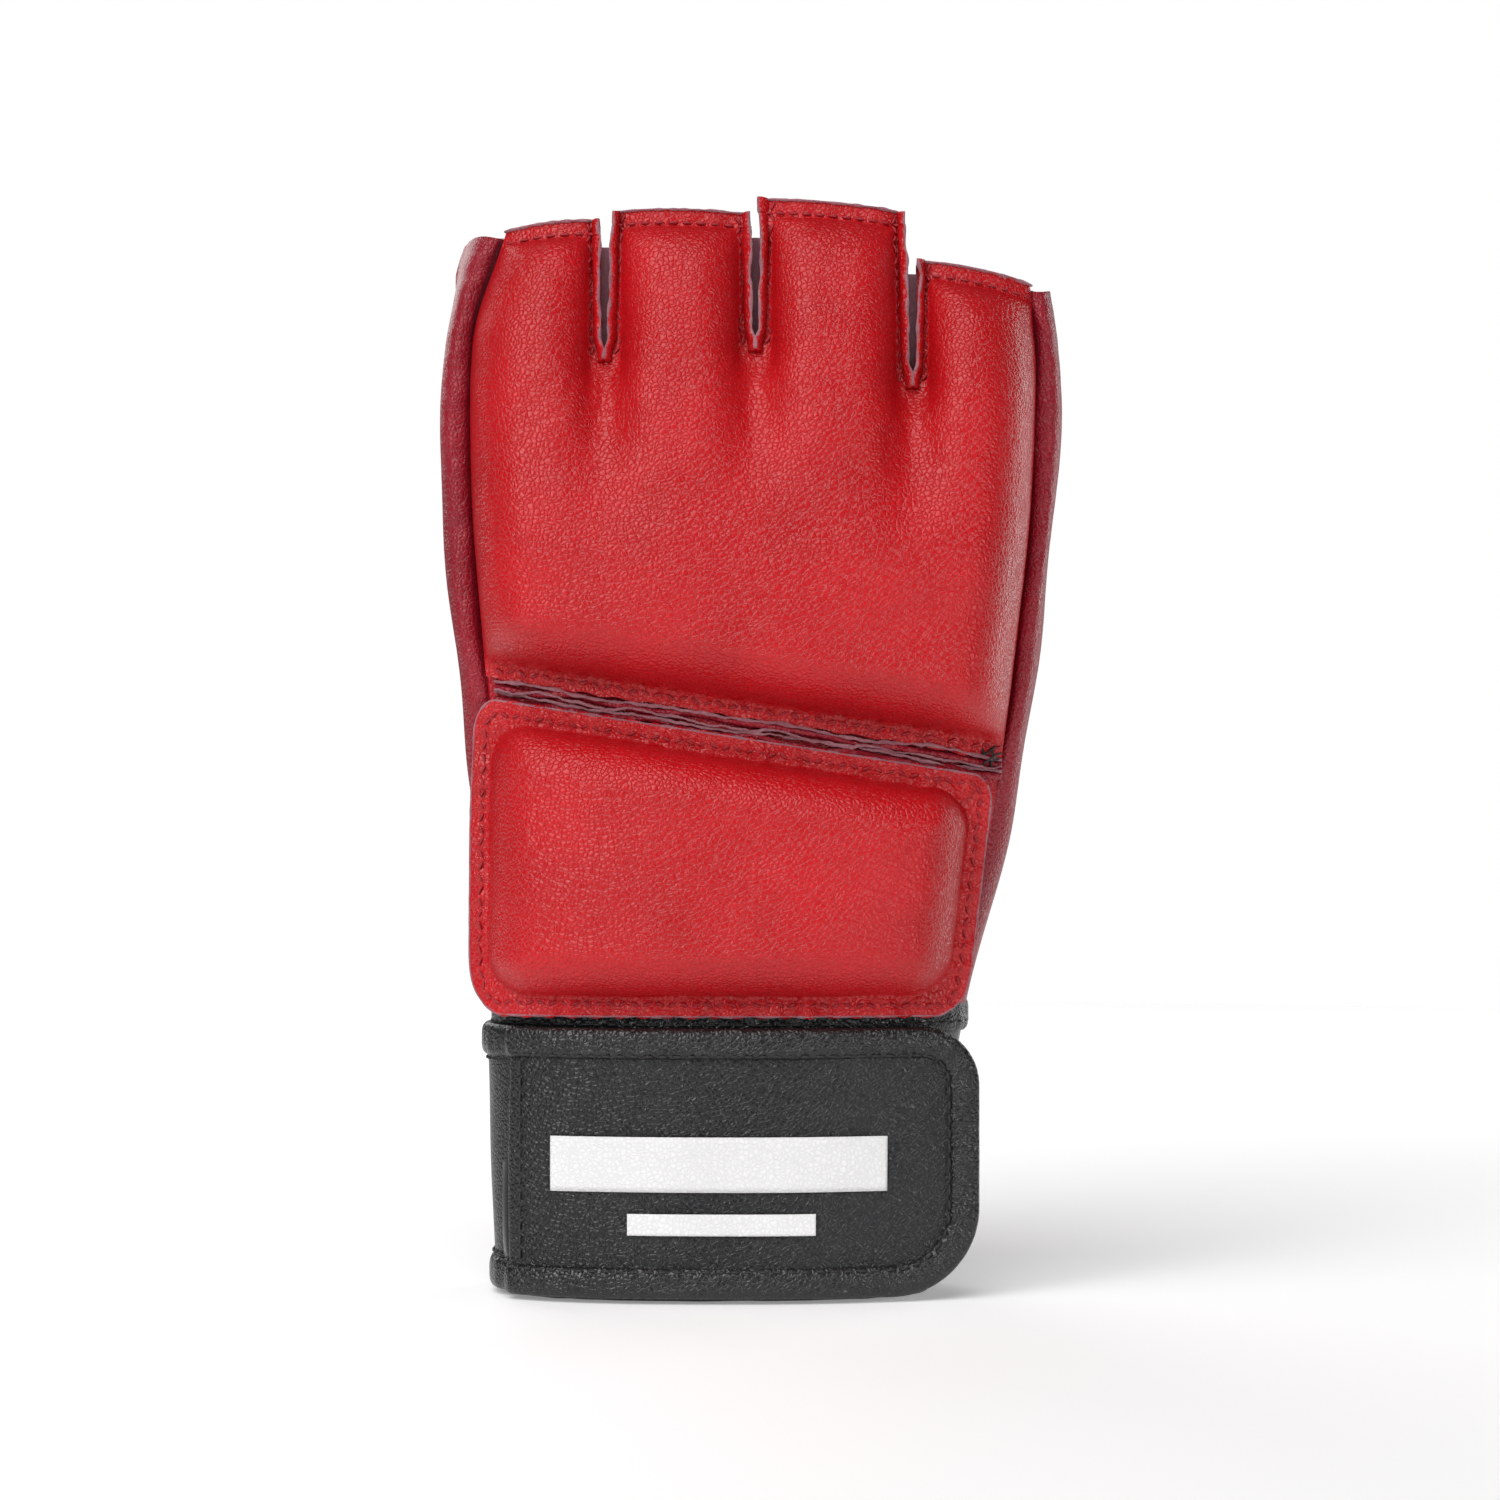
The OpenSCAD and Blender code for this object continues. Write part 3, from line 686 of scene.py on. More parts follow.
def make_wrist_pad():
    v = column(0, 1, 120)
    x, z = wrist_plan(row(0, 1, 190), v)
    z = z + .25 * np.sin(x * 1.3) * smooth(.04, 0, np.minimum(v, 1 - v))
    pad = piece("wrist_pad", sheet(wrist_point(x, z)), "pad", "side", 1.2,
                replaces=["wrist_pad_cover", "wrist_pad_foam"])
    # Backing that closes the pad against the hand behind its flange
    s = column(0, 1, 7)
    x, z = wrist_ring(90, .008 + .05 * s, .02 + .04 * s)
    backing = wrist_point(x, z)
    backing[..., 1] = mix(backing[..., 1] + 1.0, -face_y(x, z, -.4), s ** .8)
    piece("wrist_pad_backing", sheet(backing, wrap=True), "side")


# ---- Side panels ----
ROLL_H = 4.8
ROLL_TURNS = 30.0


def seam_turn(z):
    """Turn of the seam between the palm and the little finger's side."""
    return np.interp(z, [108, 134], [VENT_TURN, PALM_SEAM_LITTLE])


def vent_half(z):
    """Half the wrist vent's width at z, in degrees."""
    arc = VENT_HALF_TURN * np.sqrt(np.maximum(0, 1 - (np.maximum(z - VENT_ROUND_Z, 0) / VENT_ROUND_H) ** 2))
    share = np.clip((z - CUFF_SEAM_Z) / (VENT_ROUND_Z - CUFF_SEAM_Z), 0, 1)
    low = mix(VENT_LOW_HALF_TURN, VENT_HALF_TURN, share)
    return np.where(z > VENT_ROUND_Z + VENT_ROUND_H, 0, np.where(z > VENT_ROUND_Z, arc, low))


def side_point(n, z, turn, d):
    """Side panel: it rolls up beside the knuckle pad, and its other edge follows finger n's loop."""
    away = (BACK_SEAM_INDEX + 2 - turn) if n == 0 else (turn - BACK_SEAM_LITTLE + 2)
    tall = smooth(100, 138, z) if n == 0 else smooth(92, 128, z)
    roll = np.sin(pi * np.clip(away / ROLL_TURNS, 0, 1)) ** .85
    pull = .35 * ripple(away * .2, z, 23 + n, 3.2) * roll * tall
    p = skin(z, turn, d + .35 * ripple(turn * .6, z, 21 + n, 24) + .5 * roll * (1 - tall))
    p[..., 1] -= (ROLL_H * roll + pull - 1.6 * np.exp(-(away / 2.5) ** 2)) * tall
    near = smooth(60, 8, away)
    p[..., 0] += draw_in(z) * near if n == 0 else -1.5 * smooth(196, 214, z) * near
    share = (finger_share(z) * smooth(38, 60, away))[..., None]
    return mix(p, loop_skin(n, z, turn, d), share)


def make_side(name, n, replaces):
    u = row(0, 1, 64)
    back = u if n == 0 else 1 - u
    lobe = FINGER_TOP[0][0] if n == 0 else FINGER_TOP[3][1]
    top = mix(SLEEVE_TOP[n], lobe - .6, smooth(.05, .5, back)) + .4 * np.sin(u * 11 + n)
    z = mix(CUFF_SEAM_Z - 3, top, column(0, 1, 230))
    if n == 0:
        turn = mix(PALM_SEAM_INDEX, BACK_SEAM_INDEX + 3, u)
    else:
        turn = mix(BACK_SEAM_LITTLE - 3, seam_turn(z) - vent_half(z), u)
    points = side_point(n, z, turn, 0.0)
    # The end tucks in, as a turned and stitched edge does
    points[..., 1] += 1.6 * smooth(5, 0, top - z) * np.sin(pi * np.clip(back * 1.2 - .2, 0, 1))
    piece(name, sheet(points), "side", "suede", 1.2, blend=CURL_BLEND, replaces=replaces)


def make_side_seams():
    """Raised seams where the side panels meet the palm."""
    parts = []
    for n, low in ((0, CUFF_SEAM_Z), (3, 110.0)):
        z = np.linspace(low, 202, 170)
        turn = PALM_SEAM_INDEX if n == 0 else seam_turn(z)
        out = skin(z, turn, 2.0) - skin(z, turn, 0.0)
        for offset in (-.55, .55):
            share = finger_share(z)[..., None]
            spot = mix(skin(z, turn + offset * 2.2, .25), loop_skin(n, z, turn + offset * 3, .25), share)
            parts.append(sweep(spot, out, .62, .62 + .12 * ripple(z, 0, 140 + n, 3), 10))
    piece("side_seams", join(parts), "side", blend=CURL_BLEND)


# ---- Palm ----
LOOP_TURNS = ((PALM_SEAM_INDEX, -35.0), (215.0, -35.0), (215.0, -35.0), (215.0, PALM_SEAM_LITTLE))
PALM_SPLIT = (0, .27, .52, .765, 1.0)


def palm_point(x, z):
    """Outer surface of the palm leather below the fingers, with its soft folds."""
    x, z = np.broadcast_arrays(x, z)
    wave = .55 * ripple(x, z * .45, 31, 20) + .22 * ripple(x, z * .5, 32, 8)
    return np.stack([x, face_y(x, z, wave * smooth(66, 90, z)), z], -1)


def palm_lift(plan, lift):
    """Points lifted off the palm at these x and z, and its outward directions."""
    return on_surface(palm_point, plan[..., 0], plan[..., 1], lift, 1, .8)


def finger_palm_point(n, u, z):
    """Palm leather over finger n for u across it: flat below, a pleated loop above."""
    left, right = skin(z, PALM_SEAM_INDEX, 0), skin(z, seam_turn(z) + vent_half(z), 0)
    q = mix(PALM_SPLIT[n], PALM_SPLIT[n + 1], u)
    flat = palm_point(mix(left[..., 0], right[..., 0], q), z)
    flat[..., 1] = np.where((q < .001) | (q > .999), mix(left[..., 1], right[..., 1], q), flat[..., 1])
    flare = smooth(184, 216, z)
    ruffle = (2.3 * np.sin(u * pi * (4.2 + .6 * n) + n * 1.9) + 1.1 * np.sin(u * 21 + n * 3)) * flare
    pinch = -2.2 * np.exp(-((z - 189) / 7) ** 2) * np.sin(pi * u)
    body = np.sin(pi * u) ** .5
    loop = loop_skin(n, z, mix(*LOOP_TURNS[n], u), 0.0)
    out = loop - np.stack([FINGER_X[n] + 0 * z, 0 * z, z], -1)
    loop = loop + unit(out) * ((ruffle + 1.2 * flare) * body + pinch)[..., None]
    puff = (1.5 * np.sin(pi * u) * np.exp(-((z - 178) / 16) ** 2))[..., None] * np.array([0, 1.0, 0])
    return mix(flat, loop, finger_share(z)[..., None]) + puff


def oval_path(grow, count=200):
    """x and z round the thumb hole, grow outside it; the oval's lower end is a little pointed."""
    a = full_turn(count)
    x = (THUMB_HOLE[0] + grow) * np.cos(a) * (1 - .08 * np.maximum(np.sin(a), 0) ** 2)
    z = (THUMB_HOLE[1] + grow) * np.sin(a)
    c, s = cos(THUMB_TILT), sin(THUMB_TILT)
    return np.stack([THUMB_CENTRE[0] + x * c - z * s, THUMB_CENTRE[1] + x * s + z * c], -1)


def palm_opening_path(grow, count=40):
    """Kidney-shaped opening: two large bows and a small corner, with a side along the thumb ring."""
    bows = [(18.5, 121.5, 20.0, 200, 0), (20.5, 149, 20.5, 0, -75), (-3.0, 161.5, 5.0, -80, -200)]
    parts = []
    for cx, cz, r, start, end in bows:
        a = np.radians(np.linspace(start, end, count))
        parts.append(np.stack([cx + (r + grow) * np.cos(a), cz - (r + grow) * np.sin(a)], -1))
    return np.concatenate(parts)


def polygon_distance(points, outline):
    """Signed distance to a closed outline, negative inside, and the nearest point on it."""
    best = np.full(len(points), 1e9)
    near = np.zeros_like(points)
    inside = np.zeros(len(points), bool)
    for p, q in zip(outline, np.roll(outline, -1, 0)):
        d = q - p
        t = np.clip(((points - p) @ d) / max(d @ d, 1e-12), 0, 1)
        foot = p + t[:, None] * d
        dist = np.linalg.norm(points - foot, axis=1)
        closer = dist < best
        best = np.where(closer, dist, best)
        near[closer] = foot[closer]
        crosses = (p[1] > points[:, 1]) != (q[1] > points[:, 1])
        at = p[0] + (points[:, 1] - p[1]) / (d[1] if abs(d[1]) > 1e-12 else 1e-12) * d[0]
        inside ^= crosses & (points[:, 0] < at)
    return np.where(inside, -best, best), near


def clean_palm_outline():
    """The opening's outline, kept clear of the thumb ring."""
    raw, _ = resample(*[np.pad(palm_opening_path(0), ((0, 0), (0, 1)))] * 2, .5, True)
    raw = raw[:-1, :2]
    distance, near = polygon_distance(raw, oval_path(THUMB_RING_W - 1.6))
    raw[distance < 0] = near[distance < 0]
    return raw


def vent_outline(x, z, grow=0.0):
    """A diamond finger vent whose sides bow in a little, grow outside its edge."""
    w, h = 4.5 + grow * 1.5, 2.6 + grow
    t = np.linspace(0, 1, 8, endpoint=False)[:, None]
    corners = np.array([[-w, 0], [0, h], [w, 0], [0, -h]])
    sides = [corners[k] + (corners[(k + 1) % 4] - corners[k]) * t for k in range(4)]
    middle = np.concatenate([t * (1 - t)] * 4) * 4
    return np.concatenate(sides) * (1 - .14 * middle) + np.array([x, z])


def cut(points, faces, outline):
    """Opens a hole in a sheet: faces inside go, and points on the hole's edge move onto its outline."""
    distance, near = polygon_distance(points[:, [0, 2]], outline)
    front = points[:, 1] > 0
    kept, gone = [], []
    for f in faces:
        inside = sum(distance[i] for i in f) < 0 and all(front[i] for i in f)
        (gone if inside else kept).append(f)
    rim = set(i for f in gone for i in f) & set(i for f in kept for i in f)
    rim = np.array(sorted(rim), int)
    moved = points.copy()
    moved[rim, 0], moved[rim, 2] = near[rim, 0], near[rim, 1]
    return moved, kept


def drop_loose(points, faces):
    """Leaves out the points that no face uses."""
    used = np.unique(np.concatenate([np.array(f) for f in faces]))
    new = -np.ones(len(points), int)
    new[used] = np.arange(len(used))
    return points[used], [tuple(int(new[i]) for i in f) for f in faces]


def make_palm():
    cols, web_rows, web_cols = 50, 70, 12
    u = row(0, 1, cols)
    parts = []
    for n in range(4):
        top = SLEEVE_TOP[n] + 2.2 * np.sin(u * pi * (4.2 + .6 * n) + n * 1.9 + 2.0) + .5 * np.sin(u * 31)
        z = np.concatenate([column(CUFF_SEAM_Z - 3, 190, 200) + 0 * u, mix(190, top, column(0, 1, 56)[1:])])
        parts.append(sheet(finger_palm_point(n, u, z), flip=True))
    for k, bottom in enumerate(SLIT_BOTTOM_Z):
        # The leather folds back between two fingers as one web
        z = column(166, bottom + 23, web_rows)
        s = row(0, 1, web_cols)
        web = mix(finger_palm_point(k, 1.0, z), finger_palm_point(k + 1, 0.0, z), s[..., None])
        web[..., 1] -= 2.0 * np.sin(pi * s) * finger_share(z)
        parts.append(sheet(web, flip=True))
    points, faces = merge(*join(parts), limit=.05)
    outlines = [oval_path(1.2, 260), clean_palm_outline()] + [vent_outline(x, z) for x, z in VENTS]
    for outline in outlines:
        points, faces = cut(points, faces, outline)
    piece("palm_leather", drop_loose(points, faces), "palm", "suede", 1.2, blend=CURL_BLEND,
          replaces=["palm_shell", "palm_gathers", "palm_opening_facing"] + [f + "_sleeve" for f in FINGERS])


def make_thumb_ring():
    r = column(0, 1, 22)
    plan = oval_path(mix(0, THUMB_RING_W, r), 240)
    run, rest = r * THUMB_RING_W, (1 - r) * THUMB_RING_W
    hump = .35 + 1.5 * rise(np.minimum(run, rest), 1.6) + .12 * np.sin(pi * r)
    stitch_dip = .35 * (np.exp(-((run - 2.4) / .7) ** 2) + np.exp(-((rest - 2.4) / .7) ** 2))
    lift = hump - stitch_dip + .15 * ripple(plan[..., 0], plan[..., 1], 41, 9)
    points, _ = palm_lift(plan, lift)
    piece("thumb_ring_leather", sheet(points, wrap=True), "palm", "raw", 1.1, replaces=["thumb_ring"])


# ---- What shows inside ----
def inner_x(u, z, gap):
    """x inside the back of the hand for u across it, gap from its sides."""
    return mid_x(z) + (half_w(z) - gap) * u * .93


def suede_depth(x, z):
    return 2.0 + .5 * ripple(x, z, 51, 17) + .25 * ripple(x, z, 52, 7)


def make_loop_lining(n):
    turns = row(0, 355, 72)
    front = .5 + .5 * np.sin(np.radians(turns))
    end = mix(min(FINGER_TOP[n]) - 1.0, SLEEVE_TOP[n] - 2.8, smooth(.15, .6, front))
    z = mix(186, end + .4 * np.sin(np.radians(turns * 5)), column(0, 1, 40))
    points = loop_skin(n, z, turns, 0)
    out = points - np.array([FINGER_X[n], 0, 0])
    out[..., 2] = 0
    points = points + unit(out) * (-1.7 + .35 * ripple(turns * .15, z, 60 + n, 9))[..., None]
    points[..., 1] *= np.where(points[..., 1] < 0, FINGER_BACK_D[n] / FINGER_HALF_D, 1)
    outer = smooth(-40, -60, points[..., 0])
    points[..., 0] += (draw_in(z) + 1.0) * outer - 1.5 * smooth(50, 60, points[..., 0])
    piece(FINGERS[n] + "_loop_lining", sheet(points, wrap=True), "suede", thickness=.6, blend=CURL_BLEND,
          replaces=[FINGERS[n] + "_lining"])


def make_inside():
    # Suede behind the knuckles and up into the fingers
    z = column(124, 189, 120)
    x = inner_x(row(-.97, .97, 150), z, 2.2)
    suede_sheet = piece("suede_back_lining", sheet(back_point(x, z, -suede_depth(x, z)), flip=True), "suede",
                        thickness=.7, blend=CURL_BLEND, replaces=["back_lining"])
    for n in range(4):
        make_loop_lining(n)
    # Gathered red fabric band
    v = column(0, 1, 44)
    u = row(-.95, .95, 360)
    wave = 1.6 * np.sin(u * 30 + 2 * np.sin(u * 5)) + .9 * np.sin(u * 71 + 1)
    z = mix(103 + 1.6 * np.sin(u * 17) + .9 * np.sin(u * 39), 125.5, v)
    d = 3.5 + wave * (1 - v) ** 1.2 * .55 + .9 * np.sin(pi * v)
    band = piece("gathered_fabric_band", sheet(back_point(inner_x(u, z, 3), z, -d), flip=True), "fabric",
                 thickness=.5, replaces=["gathered_fabric"])
    x = np.linspace(-52, 52, 240)
    z = 127.2 + .4 * np.sin(x * .3)
    line = back_point(x, z, -1.1 - suede_depth(x, z))
    piece("band_stitches", stitches(line, facing(line, TO_PALM), radius=.27), "red_thread")
    # Ribbed elastic
    z = column(CUFF_SEAM_Z + .5, 105, 24)
    u = row(-.95, .95, 560)
    x = inner_x(u, z, 3)
    d = 2.6 + .22 * np.cos(u * 2 * pi * 34) + .5 * ripple(x, z, 55, 18)
    piece("ribbed_elastic", sheet(back_point(x, z, -d), flip=True), "elastic", thickness=.8,
          replaces=["wrist_elastic"])
    # Back leather that everything on the back is sewn to
    turn = row(BACK_SEAM_INDEX, 360 + BACK_SEAM_LITTLE, 90)
    piece("back_leather", sheet(skin(column(CUFF_SEAM_Z - 2, 187, 60), turn, .1)), "palm", "suede", 1.1,
          blend=CURL_BLEND, replaces=["back_panel"])


# ---- Cuff and strap ----
def binding(name, z, turn, d, w, h, seed, replaces):
    """Folded tape around an edge, with the small puckers that its stitches make."""
    points, out = skin_path(z, turn, d)
    count = len(points)
    mesh = sweep(points, out, w * puckers(count, seed + 1, .02, 0, size=7), h * puckers(count, seed), 18, 3.2)
    piece(name, mesh, "binding", replaces=replaces)


def make_cuff():
    turn = np.linspace(*CUFF_TURNS, 300)
    z = column(BINDING_W - 2, CUFF_H - BINDING_W + 2, 50)
    piece("cuff_leather", sheet(skin(z, turn, .25 * ripple(turn * .5, z, 71, 20))), "cuff", "lining", 2.0,
          replaces=["cuff_band", "cuff_lining"])
    binding("cuff_rim_edge", 3.3, turn, -1.1, 3.3, 1.65, 73, ["cuff_rim_binding"])
    binding("cuff_top_edge", CUFF_H - 3.2, turn, -.7, 3.5, 1.75, 75, ["cuff_top_binding"])
    # Loop tape under the flap
    z = column(12, 44, 60)
    turn = row(246, 318, 120)
    points = skin(z, turn, 1.3 + .12 * ripple(turn * 3, z, 77, 1.1))
    piece("loop_tape", sheet(points), "loop", thickness=.9, replaces=["loop_patch"])


def make_strap_run():
    """The strap's run over the palm side, its bound edges, and the fold where it turns back."""
    top = STRAP_Z + STRAP_W
    z = column(STRAP_Z + 3.5, top - 3.5, 60)
    turn = row(27, 214, 260)
    points = skin(z, turn, 2.2 + .3 * ripple(turn * .5, z, 79, 24))
    piece("strap_run_leather", sheet(points), "cuff", "lining", 1.5, replaces=["strap_base"])
    turn = np.linspace(27, 213.5, 220)
    height = 1.5 * puckers(220, 81, .04, 0)
    edges = [sweep(*skin_path(z, turn, 1.9), 3.3, height, 18, 3.2) for z in (STRAP_Z + 3.4, top - 3.4)]
    piece("strap_run_edges", join(edges), "binding", replaces=["strap_base_bindings"])
    fold = skin_path(np.linspace(STRAP_Z + 5.5, top - 5.5, 60), 27.4, 1.5)
    piece("strap_run_fold", sweep(*fold, 1.1, 1.15, 12, 2.4), "cuff")


FLAP_D = 4.2
FLAP_BEND_S = .74
FLAP_BEND_TURN = 298.0
CORNER_R = (18.0, 12.0)
# The flap's sewn root runs back onto the strap and sinks to its level
FLAP_ROOT_S = -.055
FLAP_SINK = 2.5


def flap_base(s):
    turn = mix(216, FLAP_BEND_TURN, np.minimum(1, s / FLAP_BEND_S))
    return skin(30.0, turn, FLAP_D - FLAP_SINK * smooth(0, FLAP_ROOT_S, s))


_line = unit(flap_base(FLAP_BEND_S) - flap_base(FLAP_BEND_S - .02))
_bend_x = float(flap_base(1.0)[0])


def flap_mid(s):
    """Middle of the flap: it follows the cuff up to its bend and runs straight on from there."""
    run = np.maximum(0, s - FLAP_BEND_S) / (1 - FLAP_BEND_S) * (STRAP_END_X - _bend_x) / _line[0]
    return flap_base(s) + _line * run[..., None]


def flap_side(s):
    """The flap's outward direction."""
    t = unit(flap_mid(np.minimum(1, s + .01)) - flap_mid(s - .01))
    return np.stack([t[..., 1], -t[..., 0], 0 * t[..., 0]], -1)


def flap_point(s, z, d):
    """Point on the strap flap: s along it, z up it, d out from its middle."""
    s, z, d = np.broadcast_arrays(s, z, d)
    p = flap_mid(s) + flap_side(s) * d[..., None]
    p[..., 2] = z
    return p


def flap_puff(s, z):
    return .3 * ripple(s * 100, z, 91, 26)


def corner(x, k, inset):
    """How far the free end's rounded corner k draws in at x."""
    r = CORNER_R[k] - inset
    e = np.clip(x - (STRAP_END_X - inset - r), 0, r)
    return r - np.sqrt(np.maximum(0, r * r - e * e))


def flap_limits(s, inset):
    x = flap_mid(s)[..., 0]
    return STRAP_Z + inset + corner(x, 0, inset), STRAP_Z + STRAP_W - inset - corner(x, 1, inset)


def flap_end_s(inset):
    """How far along the flap its outline reaches, drawn in by inset."""
    s = np.linspace(0, 1, 2000)
    return float(np.interp(STRAP_END_X - inset, flap_mid(s)[:, 0], s))


def flap_rim(inset, start, spread=0.0):
    """s and z along the flap's outline, drawn in by inset: bottom, free end, and back along the top."""
    end = flap_end_s(inset)
    along = mix(start, end, np.sin(np.linspace(0, pi / 2, 240)) ** .9)
    low, high = flap_limits(along, inset)
    tip = np.linspace(low[-1], high[-1], 40)[1:-1]
    s = np.concatenate([along, np.full(len(tip), end), along[::-1]])
    return s, np.concatenate([low - spread, tip, high[::-1] + spread])


def make_flap():
    s = row(FLAP_ROOT_S, flap_end_s(3.0), 240)
    z = mix(*flap_limits(s, 3.0), column(0, 1, 60))
    piece("strap_flap_leather", sheet(flap_point(s, z, .9 + flap_puff(s, z))), "cuff", "lining", 1.7,
          blend=FLAP_BLEND, replaces=["strap_flap", "strap_flap_lining"])
    s, z = flap_rim(3.2, FLAP_ROOT_S + .015)
    points, out = resample(flap_point(s, z, .25), flap_side(s), 1.0)
    piece("strap_flap_edge", sweep(points, out, 3.2, 1.75 * puckers(len(points), 95), 18, 3.2), "binding",
          blend=FLAP_BLEND, replaces=["strap_flap_binding"])
    # Seam of the fold, and stitches inside the bound edge
    fold = flap_point(.035, np.linspace(STRAP_Z + 7, STRAP_Z + STRAP_W - 7, 60), 1.3)
    s, z = flap_rim(6.6, 0, .9)
    seams = [stitches(fold, facing(fold, flap_side(.035)), 2.9, radius=.28),
             stitches(flap_point(s, z, 1.75), flap_side(s), 2.9, radius=.28)]
    piece("strap_stitches", join(seams), "black_thread", blend=FLAP_BLEND)
    # Plain printed bars
    bars = []
    for start, end, low, high in ((.14, .80, 22.8, 34.0), (.33, .64, 14.0, 18.4)):
        s, z = row(start, end, 120), column(low, high, 10)
        bars.append(sheet(flap_point(s, z, 1.42 + flap_puff(s, z))))
    piece("printed_bars", join(bars), "print", thickness=.12, offset=1.0, blend=FLAP_BLEND,
          replaces=["strap_emblem"])
    s = row(.42, flap_end_s(8), 140)
    z = mix(*flap_limits(s, 8.0), column(0, 1, 60))
    points = flap_point(s, z, -1.9 + .15 * ripple(s * 300, z * 3, 97, 3.1))
    piece("hook_tape", sheet(points, flip=True), "hook", thickness=.8, body="strap", replaces=["hook_patch"])
    s, z = row(.865, .935, 16), column(21.5, 34.5, 20)
    points = flap_point(s, z, -2.95 + .08 * ripple(s * 100, z, 78, 6))
    piece("blank_label", sheet(points, flip=True), "label", thickness=.35, body="strap",
          replaces=["size_label"])


def make_vent():
    """Bound edge of the wrist vent: up one side, over its round end and down the other."""
    bend = .35
    s = np.linspace(0, 1, 200)
    run = np.clip(np.minimum(s, 1 - s) / bend, 0, 1)
    a = np.pi * (s - bend) / (1 - 2 * bend)
    arc = (s >= bend) & (s <= 1 - bend)
    z = np.where(arc, VENT_ROUND_Z + VENT_ROUND_H * np.sin(a), mix(CUFF_SEAM_Z - 3, VENT_ROUND_Z, run))
    side = np.where(s < .5, -1, 1) * mix(VENT_LOW_HALF_TURN, VENT_HALF_TURN, run)
    turn = VENT_TURN + np.where(arc, -VENT_HALF_TURN * np.cos(a), side)
    points, out = resample(*skin_path(z, turn, .2), .8)
    swell = puckers(len(points), 99, .09, .05, 1.9)
    piece("wrist_vent_edge", sweep(points, out, 2.3 * swell, 1.7 * swell, 16, 2.6), "binding",
          replaces=["vent_binding"])
    piece("vent_stitches", stitches(points + out * 1.55, out, 2.8, radius=.27), "black_thread")


# ---- Raw edges and thread ----
SEAM_X = np.linspace(-51.5, 53, 420)


def make_seam_layers():
    """Folded leather deep in the seam between the pads, and a knotted thread end at its outer end."""
    x = SEAM_X
    layers = []
    for k, (dz, d, w) in enumerate(((-.2, 1.2, .75), (-2.9, 1.0, .8))):
        z = pad_seam(x) + dz + .4 * ripple(x, 0, 125 + k, 8)
        line = back_point(x, z, d + .3 * ripple(x, 0, 128 + k, 4))
        layers.append(sweep(line, facing(line, TO_BACK), w, .9, 8, 2.5))
    piece("seam_layers", join(layers), "side")
    knot = []
    s = np.linspace(0, 1, 24)
    for k in range(4):
        spot = [50.5 + .8 * sin(k * 2.1), -13.5 - .25 * k, pad_seam(51) + 1.2 - 1.5 * cos(k * 1.7)]
        curl = np.stack([1.9 * (s - .5) * (1 + .3 * k) + .5 * np.sin(s * 5 + k), -.8 * np.sin(s * 3.1),
                         1.1 * np.sin(s * 4.2 + k * 1.3)], -1)
        knot.append(sweep(np.array(spot) + curl, facing(curl, (0, -1.0, .1)), .24, .24, 8))
    piece("thread_knot", join(knot), "black_thread")


def make_back_rims():
    """Thread and cut rims of the seam between the pads and of the wrist pad's flange."""
    x = SEAM_X
    line = on_surface(cover_point, x, pad_seam(x) + 3.0 + .25 * np.sin(x * .9), .15)
    ring = on_surface(wrist_point, *wrist_ring(200, .024, .045), .1)
    red = [stitches(*line, 2.6, zigzag=.5), stitches(*ring, 2.5, zigzag=.45, closed=True)]
    raw = []
    for k, (dz, d, w) in enumerate(((.7, 2.0, .32), (-1.0, 1.9, .26), (-1.9, 1.5, .3))):
        z = pad_seam(x) + dz + .55 * ripple(x, 0, 100 + k, 9) + .1 * ripple(x, 0, 105 + k, 1.6)
        line = back_point(x, z, d + .4 * ripple(x, 0, 110 + k, 6))
        raw.append(sweep(line, facing(line, TO_BACK), w * (1 + .3 * ripple(x, 0, 115 + k, 3)), .8, 8, 3))
    pitch = .7
    points, out = resample(*on_surface(wrist_point, *wrist_ring(200, .002, .004), -.35), pitch, True)
    width = .27 + .07 * ripple(np.arange(len(points) - 1) * pitch, 0, 131, 2.2)
    raw.append(sweep(points[:-1], out[:-1], width, .42, 8, 3, closed=True))
    piece("back_stitches", join(red), "red_thread")
    piece("seam_raw_edges", join(raw), "raw", replaces=["seam_welt"])


def slit_edges(under, over):
    """Each slit's number, each of its two sides, and heights from under its bottom to over its top."""
    for k, bottom in enumerate(SLIT_BOTTOM_Z):
        for side, n in ((-1, k), (1, k + 1)):
            top = float(finger_top(n, 1.0 if side < 0 else 0.0)) + over
            yield k, side, np.linspace(bottom - under, top, 90)


